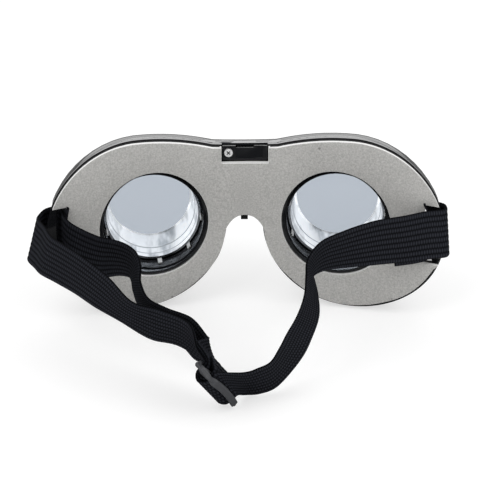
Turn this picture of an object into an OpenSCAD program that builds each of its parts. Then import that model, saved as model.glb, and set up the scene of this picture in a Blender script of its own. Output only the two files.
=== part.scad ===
// Light-up party glasses: a bent two-lobed mask with foam padding, two lit
// eyecups, a battery bay in the bridge and an adjustable elastic head strap.
// X runs to the wearer's right-hand side of the picture, Y points out of the
// front, Z is up. The origin is the top of the nose notch on the joint face.

/* [Mask outline] */
// Radius of each round lobe of the mask
lobe_radius = 37.5; // [34:0.5:40]
// Sideways distance from the middle of the mask to each lobe centre
lobe_offset = 45; // [43:0.5:48]
// Depth of the lobe centres below the top of the nose notch
lobe_drop = 1.7; // [1:0.1:2.5]
// Radius of the flat brow from the top of each lobe toward the bridge
brow_radius = 125; // [110:5:150]
// Height of the bridge between the nose notch and the top edge
bridge_height = 31.4; // [31:0.1:32.4]
// Radius of the bend that wraps the mask round the face
bend_radius = 167; // [150:1:220]

/* [Mask thicknesses] */
// Wall thickness of the front shell
shell_wall = 2; // [1.6:0.1:2.4]
// Depth of the front shell from the joint to its front face
shell_depth = 11; // [10:0.5:13]
// Straight part of the shell rim along the top edge
rim_top = 3; // [2:0.5:5]
// Straight part of the shell rim along the lower edge, which the mask stands on
rim_bottom = 8; // [6:0.5:8.5]
// Width of the rounded shell edge along the top
round_top = 8; // [6:0.5:9]
// Width of the rounded shell edge along the bottom
round_bottom = 4; // [3:0.5:5]
// Thickness of the rear cover plate
cover_thickness = 2; // [1.5:0.1:3]
// Thickness of the foam pad
foam_thickness = 4; // [3:0.5:6]
// Strip of rear cover left bare round the foam pad
foam_inset = 0.4; // [0.2:0.2:3]

/* [Eyecups] */
// Sideways distance from the middle of the mask to each eye centre
eye_offset = 38; // [36:0.5:39]
// Depth of the eye centres below the top of the nose notch
eye_drop = 0.8; // [0:0.1:2]
// Angle by which each barrel looks outward
toe_out = 4; // [0:0.5:6]
// Radius of the round opening cut in the foam
foam_hole_radius = 23; // [22.5:0.5:24]
// Outer radius of the glossy collar round each eye
collar_radius = 22.7; // [22:0.1:22.9]
// Radius of the bore of each barrel
barrel_bore = 21.4; // [21.2:0.1:21.6]
// Wall thickness of each barrel
barrel_wall = 2; // [1.5:0.1:2.2]
// Length of each barrel from the back of the foam to its front edge
barrel_length = 38; // [34:0.5:42]
// Start of the light strip, measured from the back of the foam
strip_start = 3.6; // [3:0.1:5]
// Start of the clear cup, measured from the back of the foam
cup_start = 12.2; // [11:0.1:14]
// Inner radius of the clear cup at its rim
cup_rim_radius = 19.4; // [19:0.1:19.6]
// Inner radius of the clear cup at its flat end
cup_end_radius = 17.9; // [17:0.1:18.5]
// Wall thickness of the clear cup
cup_wall = 1; // [0.8:0.1:1.2]
// Thickness of the flat end of the clear cup
cup_floor = 1.2; // [1:0.1:2]
// Thickness of the two-way mirror lens at the front
lens_thickness = 1.6; // [1:0.1:2.4]
// Outer radius of the front bezel ring
bezel_radius = 24; // [23.6:0.1:24.4]
// Inner radius of the front bezel ring
bezel_window = 18.8; // [18:0.1:20]

/* [Lights] */
// Number of lights round each eye
light_count = 9; // [6:1:12]
// Width of one light along the strip
light_width = 2.3; // [2:0.1:3.5]
// Length of one light along the barrel
light_length = 4.9; // [3:0.1:5]
// Height of one light above the strip
light_height = 0.7; // [0.4:0.1:0.8]
// Thickness of the flexible light strip
strip_thickness = 0.6; // [0.3:0.1:0.7]
// Turn of the first light of the left eye away from straight down
left_light_turn = 8; // [0:1:40]
// Turn of the first light of the right eye away from straight down
right_light_turn = 26; // [0:1:40]

/* [Battery bay and switch] */
// Width of the battery door
door_width = 18.8; // [18:0.1:19.4]
// Height of the lower edge of the battery door above the notch top
door_base = 24.9; // [24.5:0.1:26]
// Height of the upper edge of the battery door above the notch top
door_top = 31.2; // [30.8:0.1:31.4]
// Thickness of the battery door plate
door_thickness = 1.2; // [1:0.1:1.6]
// Sideways position of the battery door screw
door_screw_x = -6.8; // [-7.2:0.1:-6.6]
// Height of the battery door screw above the notch top
door_screw_z = 28.2; // [27.8:0.1:28.6]
// Diameter of the button cells
cell_diameter = 6.8; // [6.4:0.1:6.8]
// Thickness of one button cell
cell_thickness = 2.6; // [2:0.1:2.6]
// Number of button cells in the stack
cell_count = 3; // [2:1:3]
// Width and depth of the mode button
button_size = 2.9; // [2.4:0.1:3.4]
// Length of the mode button that shows below the notch top
button_reach = 3.2; // [2:0.1:4]
// Press travel of the mode button
button_travel = 0.4; // [0.2:0.05:0.5]
// Depth of the mode button centre in front of the joint
button_depth = 4.9; // [4.5:0.1:5.4]

/* [Head strap] */
// Width of the elastic strap
strap_width = 22; // [18:0.5:23]
// Thickness of the elastic strap
strap_thickness = 1.2; // [0.8:0.1:1.6]
// Height of the strap slots
slot_height = 26; // [24:0.5:28]
// Width of the strap slots
slot_width = 3.6; // [3:0.1:4]
// Distance from the outer edge of a lobe to the inner side of a strap slot
slot_inset = 8.5; // [7.5:0.5:9.5]
// Length of the slider buckle across the strap
slider_length = 27; // [26:0.5:30]
// Width of the slider buckle along the strap
slider_depth = 13; // [12.6:0.2:15]
// Thickness of the slider buckle
slider_thickness = 3; // [2.4:0.2:3.2]
// Rise of the slider's ends above its middle
slider_bow = 1.2; // [0.6:0.1:1.4]

/* [Clearances] */
// Running clearance round the mode button and the battery door
moving_gap = 0.2; // [0.1:0.05:0.4]
// Radial clearance of a screw in its hole
screw_gap = 0.05; // [0.02:0.01:0.1]
// Gap between glued or clipped pieces of the same body
fit_gap = 0.02; // [0.01:0.01:0.05]

/* [Hidden] */
$fn = 96;

// Radius of the arch at the top of the nose notch, which just overlaps the lobes
notch_radius = (pow(lobe_offset, 2) + pow(lobe_drop, 2) - pow(lobe_radius, 2))
    / (2 * (lobe_radius + lobe_drop)) + 0.37;
// Radius of the hollow top edge of the bridge, which just overlaps the lobes
crown_radius = 1.18 * (pow(lobe_offset, 2) + pow(bridge_height + lobe_drop, 2)
    - pow(lobe_radius, 2)) / (2 * (lobe_radius - bridge_height - lobe_drop));
// Height of the centre of a brow arc, level with the top of the lobe
brow_z = lobe_radius - lobe_drop - brow_radius;
// Distance from the centre of the notch arch to a lobe centre
notch_reach = norm([lobe_offset, notch_radius - lobe_drop]);
// Angle of the line from the centre of the notch arch to a lobe centre
notch_angle = atan2(notch_radius - lobe_drop, lobe_offset);
// Distance from the centre of the crown arc to the centre of a brow arc
crown_reach = norm([lobe_offset, bridge_height + crown_radius - brow_z]);
// Angle from straight down of the line from the crown centre to a brow centre
crown_angle = atan2(lobe_offset, bridge_height + crown_radius - brow_z);
// Depth of the eye centre on the back of the foam
eye_y = -bend_radius + sqrt(pow(bend_radius - cover_thickness - foam_thickness, 2)
    - pow(eye_offset, 2));
// Inner radius of the light strip
strip_inner = barrel_bore - fit_gap - strip_thickness;
// End of the clear cup along the barrel
cup_end = barrel_length - 2.6;
// Start of the front lens along the barrel
lens_start = cup_end + 0.05;
// Height of the battery stack centre above the notch top
cell_z = 26.75;
// Depth of the battery stack centre in front of the joint
cell_y = 2;
// Left end of the battery stack
cell_x = -3;
// Width and height of the battery contacts
contact_size = 4.8;
// Middle height of the strap slots
slot_z = -eye_drop;
// Sideways distance from the middle to the inner side of a strap slot
slot_inner = lobe_offset + lobe_radius - slot_inset;
// Positions of the four case screws
case_screw_spots = [[60, 24.5], [60, -27.9], [-60, 24.5], [-60, -27.9]];
// Radius, head radius and head height of a case screw
case_screw_radius = 0.9;
case_head_radius = 1.9;
case_head_height = 1.1;
// Positions of the two board screws
board_screw_spots = [[11, 18], [-11, 18]];

// Angle at the first centre of a triangle with sides of the given lengths
function corner_angle(near, apart, far) =
    acos((near * near + apart * apart - far * far) / (2 * near * apart));
// Angle on the notch arch where it meets the right lobe, for the given inset
function notch_end(inset) = notch_angle
    + corner_angle(notch_radius + inset, notch_reach, lobe_radius - inset);
// Angle on the right lobe where it meets the notch arch
function lobe_start(inset) = 180 + notch_angle
    - corner_angle(lobe_radius - inset, notch_reach, notch_radius + inset);
// Angle from straight down on the crown arc where it meets the right brow
function crown_end(inset) = crown_angle
    - corner_angle(crown_radius + inset, crown_reach, brow_radius - inset);
// Angle from straight up on the right brow where it meets the crown arc
function brow_end(inset) = crown_angle
    + corner_angle(brow_radius - inset, crown_reach, crown_radius + inset);

// Outline of the mask seen from behind, drawn inward by the given inset
module outline(inset) {
    notch = notch_radius + inset;
    crown = crown_radius + inset;
    notch_x = notch * cos(notch_end(inset)) + 3;
    notch_z = -notch_radius + notch * sin(notch_end(inset)) - 0.6;
    crown_x = crown * sin(crown_end(inset)) + 2.5;
    crown_z = bridge_height + crown_radius - crown * cos(crown_end(inset)) + 0.2;
    for (side = [-1, 1]) {
        translate([side * lobe_offset, -lobe_drop])
            circle(r = lobe_radius - inset, $fn = 180);
        intersection() {
            translate([side * lobe_offset, brow_z])
                circle(r = brow_radius - inset, $fn = 720);
            translate([side * lobe_offset / 2 - lobe_offset / 2, bridge_height / 2])
                square([lobe_offset, lobe_radius]);
        }
    }
    difference() {
        polygon([[crown_x, crown_z], [-crown_x, crown_z],
            [-notch_x, notch_z], [notch_x, notch_z]]);
        translate([0, -notch_radius])
            circle(r = notch, $fn = 72);
        translate([0, bridge_height + crown_radius])
            circle(r = crown, $fn = 360);
    }
}

// Upright block with the mask outline, long enough to cross the whole bend
module outline_block(inset) {
    translate([0, 25, 0])
        rotate([90, 0, 0])
            linear_extrude(height = 80)
                outline(inset);
}

// Layer of the bend between two depths measured from the joint
module bent_layer(back, front) {
    translate([0, -bend_radius, -60])
        difference() {
            cylinder(r = bend_radius + front, h = 120, $fn = 180);
            translate([0, 0, -1])
                cylinder(r = bend_radius + back, h = 122, $fn = 180);
        }
}

// Everything behind the joint face
module behind_joint(depth) {
    translate([0, -bend_radius, -60])
        cylinder(r = bend_radius + depth, h = 120, $fn = 180);
}

// Places children on the axis of the right eye, with their Z along the barrel
module at_right_eye() {
    translate([eye_offset, eye_y, -eye_drop])
        rotate([0, 0, -toe_out])
            rotate([-90, 0, 0])
                children();
}

// Repeats children on the left-hand side of the mask
module as_left() {
    mirror([1, 0, 0])
        children();
}

// Places children on the joint at a spot, with their Y square to the bend
module on_joint(spot) {
    turn = asin(spot[0] / bend_radius);
    translate([spot[0], bend_radius * (cos(turn) - 1), spot[1]])
        rotate([0, 0, -turn])
            children();
}

// Ring between two radii, from one depth to another along the barrel
module tube(outer, inner, start, end) {
    translate([0, 0, start])
        difference() {
            cylinder(r = outer, h = end - start);
            translate([0, 0, -1])
                cylinder(r = inner, h = end - start + 2);
        }
}

// Number of stations along the notch arch and along a lobe, for the shell skin
notch_steps = 5;
lobe_steps = 26;
half_steps = notch_steps + lobe_steps;
ring_count = 4 * half_steps;
// Angles that shape the rounded edge of the shell
edge_angles = [18, 36, 54, 72, 90];
skin_layers = 2 + len(edge_angles);

// Start of the inner ribs, a little in front of the joint
core_start = 0.35;

// Share of the lower edge in the shape of the rim, from the way the edge faces
function lower_share(facing) = (1 - facing) / 2;
function rim_at(facing) = rim_top + (rim_bottom - rim_top) * lower_share(facing);
function round_at(facing) = round_top + (round_bottom - round_top) * lower_share(facing);

// Inset and depth of one layer of the skin, for an edge that faces up or down
function layer_inset(layer, facing, wall) = layer < 2 ? wall
    : wall + (round_at(facing) - wall) * (1 - cos(edge_angles[layer - 2]));
function layer_depth(layer, facing, wall) = layer == 0
    ? (wall == shell_wall / 2 ? core_start : fit_gap)
    : layer == 1 ? rim_at(facing)
    : rim_at(facing)
        + (shell_depth - wall - rim_at(facing)) * sin(edge_angles[layer - 2]);

// Point on the bend at the given place and depth from the joint
function on_bend(x, z, depth) =
    [x, -bend_radius + sqrt(pow(bend_radius + depth, 2) - x * x), z];

// Skin point from an arc of the outline: centre, reach, direction and facing
function arc_point(cx, cz, reach, angle, facing, layer, wall) =
    on_bend(cx + reach * cos(angle), cz + reach * sin(angle),
        layer_depth(layer, facing, wall));

// Lower edge station k, counted from the middle outward to one side
function lower_point(k, side, layer, wall) =
    abs(k) <= notch_steps
    ? let (share = abs(k) / notch_steps,
        facing = -sin(90 - (90 - notch_end(0)) * share),
        inset = layer_inset(layer, facing, wall),
        angle = 90 - (90 - notch_end(inset)) * share,
        p = arc_point(0, -notch_radius, notch_radius + inset, angle, facing, layer, wall))
        [side * p[0], p[1], p[2]]
    : let (share = (abs(k) - notch_steps) / lobe_steps,
        facing = sin(360 - (360 - lobe_start(0)) * (1 - share)),
        inset = layer_inset(layer, facing, wall),
        angle = 360 - (360 - lobe_start(inset)) * (1 - share),
        p = arc_point(lobe_offset, -lobe_drop, lobe_radius - inset, angle,
            facing, layer, wall))
        [side * p[0], p[1], p[2]];

// Sideways position of station k on the bare outline
function station_x(k) = abs(k) <= notch_steps
    ? notch_radius * cos(90 - (90 - notch_end(0)) * abs(k) / notch_steps)
    : lobe_offset + lobe_radius * cos(lobe_start(0)
        + (360 - lobe_start(0)) * (abs(k) - notch_steps) / lobe_steps);

// Upper edge station k, straight above the lower one on the bare outline
function upper_point(k, side, layer, wall) =
    station_x(k) < crown_radius * sin(crown_end(0))
    ? let (turn = asin(station_x(k) / crown_radius),
        facing = cos(turn),
        inset = layer_inset(layer, facing, wall),
        angle = -90 + turn * crown_end(inset) / crown_end(0),
        p = arc_point(0, bridge_height + crown_radius, crown_radius + inset, angle,
            facing, layer, wall))
        [side * p[0], p[1], p[2]]
    : station_x(k) < lobe_offset
    ? let (turn = asin((lobe_offset - station_x(k)) / brow_radius),
        facing = cos(turn),
        inset = layer_inset(layer, facing, wall),
        angle = 90 + turn * brow_end(inset) / brow_end(0),
        p = arc_point(lobe_offset, brow_z, brow_radius - inset, angle,
            facing, layer, wall))
        [side * p[0], p[1], p[2]]
    : let (turn = acos(min(1, (station_x(k) - lobe_offset) / lobe_radius)),
        facing = sin(turn),
        inset = layer_inset(layer, facing, wall),
        p = arc_point(lobe_offset, -lobe_drop, lobe_radius - inset, turn,
            facing, layer, wall))
        [side * p[0], p[1], p[2]];

// One closed ring of the skin: along the bottom, then back along the top
function skin_ring(layer, wall) = [
    for (k = [-half_steps : half_steps])
        lower_point(k, k < 0 ? -1 : 1, layer, wall),
    for (k = [half_steps - 1 : -1 : -half_steps + 1])
        upper_point(k, k < 0 ? -1 : 1, layer, wall)];

// Triangles of a band between two rings that start at the given indices
function band(near, far) = [
    for (i = [0 : ring_count - 1])
        let (j = (i + 1) % ring_count)
            each [[near + i, near + j, far + j], [near + i, far + j, far + i]]];

// Triangles that close one ring from edge to edge
function cap(start, flip) = [
    for (k = [0 : 2 * half_steps - 1])
        let (a = start + k,
            b = start + k + 1,
            c = start + (ring_count - k - 1) % ring_count,
            d = start + (ring_count - k) % ring_count)
            each [
                if (c != b) (flip ? [a, c, b] : [a, b, c]),
                if (d != a) (flip ? [a, d, c] : [a, c, d])]];

// Hollow skin of the front shell, open at the joint
module shell_skin() {
    inner = skin_layers * ring_count;
    polyhedron(
        points = [
            for (layer = [0 : skin_layers - 1]) each skin_ring(layer, 0),
            for (layer = [0 : skin_layers - 1]) each skin_ring(layer, shell_wall)],
        faces = [
            for (layer = [0 : skin_layers - 2])
                each band(layer * ring_count, (layer + 1) * ring_count),
            for (layer = [0 : skin_layers - 2])
                each band(inner + (layer + 1) * ring_count, inner + layer * ring_count),
            each band(inner, 0),
            each cap((skin_layers - 1) * ring_count, false),
            each cap(inner + (skin_layers - 1) * ring_count, true)],
        convexity = 10);
}

// Solid body that ends halfway through the skin, used to trim inner ribs
module shell_core() {
    half_wall = shell_wall / 2;
    polyhedron(
        points = [
            for (layer = [0 : skin_layers - 1]) each skin_ring(layer, half_wall)],
        faces = [
            for (layer = [0 : skin_layers - 2])
                each band(layer * ring_count, (layer + 1) * ring_count),
            each cap(0, true),
            each cap((skin_layers - 1) * ring_count, false)],
        convexity = 10);
}

// Walls round the pocket behind a strap bar, on the right-hand side
module slot_walls() {
    wall = 1.6;
    translate([slot_inner - wall, -30, slot_z - slot_height / 2 - wall])
        cube([wall, 30, slot_height + 2 * wall]);
    for (end = [-1, 1]) {
        translate([slot_inner - wall, -30,
            slot_z + end * (slot_height / 2 + wall / 2) - wall / 2])
            cube([12, 30, wall]);
    }
}

// Opening of the pocket behind a strap bar, on the right-hand side
module slot_pocket() {
    translate([slot_inner, -40, slot_z - slot_height / 2])
        cube([20, 50, slot_height]);
}

// Slot through the rear cover and the foam, on the right-hand side
module slot_opening() {
    translate([slot_inner, -40, slot_z - slot_height / 2])
        cube([slot_width, 50, slot_height]);
}

// Front shell with its two barrels, screw posts, strap pockets and battery bay
module front_shell() {
    post_radius = 2.6;
    color("#15171a")
        difference() {
            union() {
                shell_skin();
                intersection() {
                    shell_core();
                    union() {
                        slot_walls();
                        as_left() slot_walls();
                        for (spot = case_screw_spots) {
                            on_joint(spot)
                                translate([0, -3, 0])
                                    rotate([-90, 40, 0])
                                        cylinder(r = post_radius, h = 25);
                        }
                    }
                }
                front_barrel();
                as_left() front_barrel();
                for (spot = board_screw_spots) {
                    translate([spot[0], 3.4, spot[1]])
                        rotate([-90, 0, 0])
                            cylinder(r = 1.7, h = 6.2);
                }
                translate([door_screw_x, -1.85, door_screw_z])
                    rotate([-90, 0, 0])
                        cylinder(r = 2.1, h = 7.6);
                bay_walls();
            }
            for (side = [0, 1]) {
                mirror([side, 0, 0]) {
                    at_right_eye()
                        translate([0, 0, -20])
                            cylinder(r = barrel_bore, h = 80);
                    slot_pocket();
                    translate([12.5, 1.2, 5.4])
                        cube([9, 1.2, 5.8]);
                }
            }
            cell_pocket();
            translate([cell_x - 1.3, -5, cell_z - cell_diameter / 2 - 0.15])
                cube([9.8, 5 + cell_y, cell_diameter + 0.3]);
            translate([door_screw_x, -4, door_screw_z])
                rotate([-90, 0, 0])
                    cylinder(r = 0.9 + screw_gap, h = 9);
            for (spot = case_screw_spots) {
                on_joint(spot)
                    translate([0, -3, 0])
                        rotate([-90, 0, 0])
                            cylinder(r = case_screw_radius + screw_gap, h = 8.7);
            }
            for (spot = board_screw_spots) {
                translate([spot[0], 0, spot[1]])
                    rotate([-90, 0, 0])
                        cylinder(r = 0.75 + screw_gap, h = 8);
            }
            translate([-button_size / 2 - moving_gap,
                button_depth - button_size / 2 - moving_gap, -6])
                cube([button_size + 2 * moving_gap, button_size + 2 * moving_gap, 9]);
        }
}

// Depth of the seat of the case screw heads, sunk in the rear cover
function case_seat() = -cover_thickness + case_head_height + 0.1;

// Round pocket of the battery stack
module cell_pocket() {
    translate([cell_x - 1.3, cell_y, cell_z])
        rotate([0, 90, 0])
            cylinder(d = cell_diameter + 0.3, h = 9.8);
}

// Walls that hold the battery stack, with a rear rim under the battery door
module bay_walls() {
    low = cell_z - cell_diameter / 2 - 1.1;
    translate([cell_x - 2.2, 0.1, low])
        cube([11.6, 5.3, 30.6 - low]);
    translate([cell_x - 2.2, 3, low])
        cube([11.6, 3.9, 29.2 - low]);
    translate([cell_x - 2.2, -1.85, low + 3.2])
        cube([11.6, 4, 3.8]);
}

// Barrel in front of the joint, on the right-hand side
module front_barrel() {
    difference() {
        at_right_eye()
            translate([0, 0, -12])
                cylinder(r = barrel_bore + barrel_wall, h = barrel_length + 12);
        behind_joint(fit_gap);
    }
}

// Rear cover plate with a glossy collar round each eye
module rear_cover() {
    color("#101214")
        difference() {
            union() {
                intersection() {
                    outline_block(0);
                    bent_layer(-cover_thickness, 0);
                }
                for (side = [0, 1]) {
                    mirror([side, 0, 0])
                        intersection() {
                            at_right_eye()
                                translate([0, 0, -20])
                                    cylinder(r = collar_radius, h = 40);
                            bent_layer(-cover_thickness - foam_thickness + 1, -0.5);
                        }
                }
            }
            for (side = [0, 1]) {
                mirror([side, 0, 0]) {
                    at_right_eye()
                        translate([0, 0, -20])
                            cylinder(r = barrel_bore, h = 80);
                    slot_opening();
                }
            }
            translate([-door_width / 2 - moving_gap, -10, door_base - moving_gap])
                cube([door_width + 2 * moving_gap, 20, 20]);
            cell_pocket();
            for (spot = case_screw_spots) {
                on_joint(spot) {
                    translate([0, -10, 0])
                        rotate([-90, 0, 0])
                            cylinder(r = case_screw_radius + 0.2, h = 20);
                    translate([0, -12, 0])
                        rotate([-90, 0, 0])
                            cylinder(r = case_head_radius + 0.2, h = 12 + case_seat());
                }
            }
        }
}

// Grey foam pad glued to the rear cover
module foam_pad() {
    color("#a8a7a3")
        difference() {
            intersection() {
                outline_block(foam_inset);
                bent_layer(-cover_thickness - foam_thickness, -cover_thickness - fit_gap);
            }
            for (side = [0, 1]) {
                mirror([side, 0, 0]) {
                    at_right_eye()
                        translate([0, 0, -20])
                            cylinder(r = foam_hole_radius, h = 80);
                    slot_pocket();
                }
            }
            translate([-door_width / 2 - 0.4, -20, door_base - 0.4])
                cube([door_width + 0.8, 40, 20]);
        }
}

// Flexible light strip inside the right barrel, with its tail to the board
module light_strip() {
    difference() {
        union() {
            at_right_eye()
                translate([0, 0, strip_start])
                    cylinder(r = barrel_bore - fit_gap, h = cup_start - 0.1 - strip_start);
            translate([12, 1.6, 5.6])
                cube([8.2, 0.58, 5.4]);
        }
        at_right_eye()
            translate([0, 0, strip_start - 1])
                cylinder(r = strip_inner, h = cup_start - strip_start + 2);
    }
}

module left_led_strip() {
    color("#303338")
        as_left() light_strip();
}

module right_led_strip() {
    color("#303338")
        light_strip();
}

// Ring of lights on the strip of the right barrel
module lights(first_turn) {
    seat = sqrt(pow(strip_inner, 2) - pow(light_width / 2, 2)) - fit_gap;
    at_right_eye()
        for (i = [0 : light_count - 1]) {
            rotate([0, 0, 90 + first_turn + i * 360 / light_count])
                translate([seat - light_height, -light_width / 2,
                    cup_start - 0.15 - light_length])
                    cube([light_height, light_width, light_length]);
        }
}

module left_leds() {
    color("#f4f6f8")
        as_left() lights(left_light_turn);
}

module right_leds() {
    color("#f4f6f8")
        lights(right_light_turn);
}

// Clear cup of the right barrel, with a rim flange and two ridges in its wall
module clear_cup() {
    middle = cup_rim_radius - 0.55;
    at_right_eye()
        rotate_extrude()
            polygon([
                [0, cup_end - cup_floor],
                [cup_end_radius, cup_end - cup_floor],
                [middle - 0.3, cup_start + 9.2],
                [middle, cup_start + 8.8],
                [middle + 0.2, cup_start + 4],
                [cup_rim_radius - 0.1, cup_start + 3.5],
                [cup_rim_radius, cup_start],
                [barrel_bore - 0.15, cup_start],
                [barrel_bore - 0.15, cup_start + 1],
                [cup_rim_radius + cup_wall, cup_start + 1],
                [cup_end_radius + cup_wall, cup_end],
                [0, cup_end]]);
}

module left_cup() {
    color("#dfe5ea", 0.4)
        as_left() clear_cup();
}

module right_cup() {
    color("#dfe5ea", 0.4)
        clear_cup();
}

// Silver sleeve round the clear cup of the right barrel
module reflector() {
    at_right_eye()
        rotate_extrude()
            polygon([
                [cup_rim_radius + cup_wall + 0.1, cup_start + 1.05],
                [barrel_bore - 0.1, cup_start + 1.05],
                [barrel_bore - 0.1, cup_start + 2],
                [cup_end_radius + cup_wall + 0.6, lens_start - 0.4],
                [barrel_bore - 0.1, lens_start - 0.4],
                [barrel_bore - 0.1, lens_start - 0.05],
                [cup_end_radius + cup_wall + 0.1, lens_start - 0.05]]);
}

module left_reflector() {
    color("#d8dadd")
        as_left() reflector();
}

module right_reflector() {
    color("#d8dadd")
        reflector();
}

// Two-way mirror lens at the front of the right barrel
module front_lens() {
    at_right_eye()
        translate([0, 0, lens_start])
            cylinder(r = barrel_bore - 0.2, h = lens_thickness);
}

module left_lens() {
    color("#8b98a8", 0.6)
        as_left() front_lens();
}

module right_lens() {
    color("#8b98a8", 0.6)
        front_lens();
}

// Bezel ring that clips the lens into the right barrel
module bezel() {
    at_right_eye()
        rotate_extrude()
            polygon([
                [bezel_window, lens_start + lens_thickness + 0.05],
                [barrel_bore - 0.1, lens_start + lens_thickness + 0.05],
                [barrel_bore - 0.1, barrel_length + 0.05],
                [bezel_radius, barrel_length + 0.05],
                [bezel_radius, barrel_length + 1.2],
                [bezel_radius - 0.8, barrel_length + 2.2],
                [bezel_window + 1.4, barrel_length + 2.2],
                [bezel_window, barrel_length + 0.8]]);
}

module left_bezel() {
    color("#1b1d21")
        as_left() bezel();
}

module right_bezel() {
    color("#1b1d21")
        bezel();
}

// Circuit board behind the bridge
module main_board() {
    color("#1f5a3a")
        difference() {
            translate([-14, 2.2, 4.6])
                cube([28, 1.2, 15.6]);
            for (spot = board_screw_spots) {
                translate([spot[0], 0, spot[1]])
                    rotate([-90, 0, 0])
                        cylinder(r = 0.95, h = 8);
            }
        }
}

// Controller chip on the front of the board
module control_chip() {
    color("#1a1a1c")
        translate([-3, 3.4, 10.6])
            cube([6, 1.1, 5]);
}

// Body of the push switch on the lower edge of the board
module mode_switch() {
    color("#2a2c30")
        difference() {
            translate([-3, 3.4, 3.2])
                cube([6, 3.6, 3.4]);
            translate([0, button_depth, 2])
                cylinder(r = 0.9, h = 3.6);
        }
}

// Mode button under the bridge, pressed upward
module mode_button() {
    color("#0c0d0f")
        translate([0, button_depth, 0]) {
            translate([-button_size / 2, -button_size / 2, -button_reach])
                cube([button_size, button_size, button_reach + 2.2]);
            translate([-2.3, -button_size / 2, 2.1])
                cube([4.6, button_size, 0.55]);
            translate([0, 0, 2])
                cylinder(r = 0.7, h = 2.6);
        }
}

// Stack of button cells lying across the bridge
module button_cells() {
    color("#c9ccd1")
        for (i = [0 : cell_count - 1]) {
            translate([cell_x + i * cell_thickness, cell_y, cell_z])
                rotate([0, 90, 0]) {
                    cylinder(d = cell_diameter, h = cell_thickness - 0.5);
                    translate([0, 0, cell_thickness - 0.55])
                        cylinder(d = cell_diameter - 1.4, h = 0.53);
                }
        }
}

// Sprung contact at the left end of the cells
module contact_spring() {
    color("#c7b27a")
        translate([0, cell_y, cell_z])
            rotate([0, 90, 0]) {
                translate([-contact_size / 2, -contact_size / 2, cell_x - 1.25])
                    cube([contact_size, contact_size, 0.3]);
                translate([0, 0, cell_x - 1])
                    cylinder(r1 = 2.2, r2 = 1.4, h = 0.95, $fn = 48);
            }
}

// Flat contact at the right end of the cells
module contact_plate() {
    color("#c7b27a")
        translate([cell_x + cell_count * cell_thickness + 0.05,
            cell_y - contact_size / 2, cell_z - contact_size / 2])
            cube([0.5, contact_size, contact_size]);
}

// Battery door with a screw recess, a thumb notch and a sunk middle panel
module battery_door() {
    back = -1.9 - door_thickness;
    color("#141518")
        difference() {
            translate([-door_width / 2, back, door_base])
                cube([door_width, door_thickness, door_top - door_base]);
            translate([-3.8, back - 1, door_top - 0.9])
                cube([7.6, door_thickness + 2, 3]);
            translate([-3.8, back - 1, door_base + 0.9])
                cube([11.4, 1.35, door_top]);
            translate([door_screw_x, back - 1, door_screw_z])
                rotate([-90, 0, 0])
                    cylinder(r = 2.1, h = 1.45);
            translate([door_screw_x, back - 1, door_screw_z])
                rotate([-90, 0, 0])
                    cylinder(r = 1.05, h = 6);
        }
}

// Cross-head screw with its head toward the wearer and its shank forward
module cross_screw(head_radius, head_height, shank_radius, shank_length) {
    rotate([-90, 0, 0])
        difference() {
            union() {
                translate([0, 0, -head_height])
                    cylinder(r = head_radius, h = head_height);
                translate([0, 0, -0.01])
                    cylinder(r = shank_radius, h = shank_length);
            }
            for (turn = [0, 90]) {
                rotate([0, 0, 45 + turn])
                    translate([-head_radius * 0.55, -0.22, -head_height - 1])
                        cube([head_radius * 1.1, 0.44, 1.5]);
            }
        }
}

// Screw that holds the battery door
module door_screw() {
    color("#c9ccd1")
        translate([door_screw_x, -1.9 - door_thickness + 0.45, door_screw_z])
            cross_screw(1.75, 0.8, 0.9, 6.5);
}

// Four screws that join the rear cover to the front shell
module case_screws() {
    color("#b5b8bd")
        for (spot = case_screw_spots) {
            on_joint(spot)
                translate([0, case_seat(), 0])
                    cross_screw(case_head_radius, case_head_height, case_screw_radius, 6);
        }
}

// Two screws that hold the circuit board
module board_screws() {
    color("#b5b8bd")
        for (spot = board_screw_spots) {
            translate([spot[0], 2.2, spot[1]])
                cross_screw(1.5, 0.8, 0.75, 5);
        }
}

// Place of the slider, its long axis, the way the strap runs and its face
slider_centre = [-12.9, -113.2, -26.5];
slider_long = unit([-0.388, -0.589, 0.708]);
slider_run = unit(cross(cross(slider_long, [-0.514, 0.777, 0.364]), slider_long));
slider_face = cross(slider_long, slider_run);
// Width of each slot of the slider, and of each of its three bars
slider_slot = 2 * strap_thickness + 0.9;
slider_bar = (slider_depth - 2 * slider_slot) / 3;
// Distance of the sewn loop and of the main run from the slider's middle line
loop_side = slider_bar / 2 + 0.08 + strap_thickness / 2;
main_side = loop_side + strap_thickness + 0.35;
// Distance off the slider of the main run and the sewn strand that pass under it
main_under = slider_thickness / 2 + 0.1 + strap_thickness / 2;
loop_under = main_under + strap_thickness + 0.1;
tail_under = loop_under + strap_thickness + 0.1;
// Height of the sewn loop and of the main run where they cross the middle bar
loop_over = slider_thickness / 2 + slider_bow + strap_thickness / 2 - 0.15;
main_over = loop_over + strap_thickness + 0.5;

// Pair of edge points of the strap at a place in the slider's own directions
function threaded(run, face, along) =
    let (middle = slider_centre + run * slider_run + face * slider_face
            + along * slider_long,
        half = slider_long * strap_width / 2)
        [middle + half, middle - half];

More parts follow.
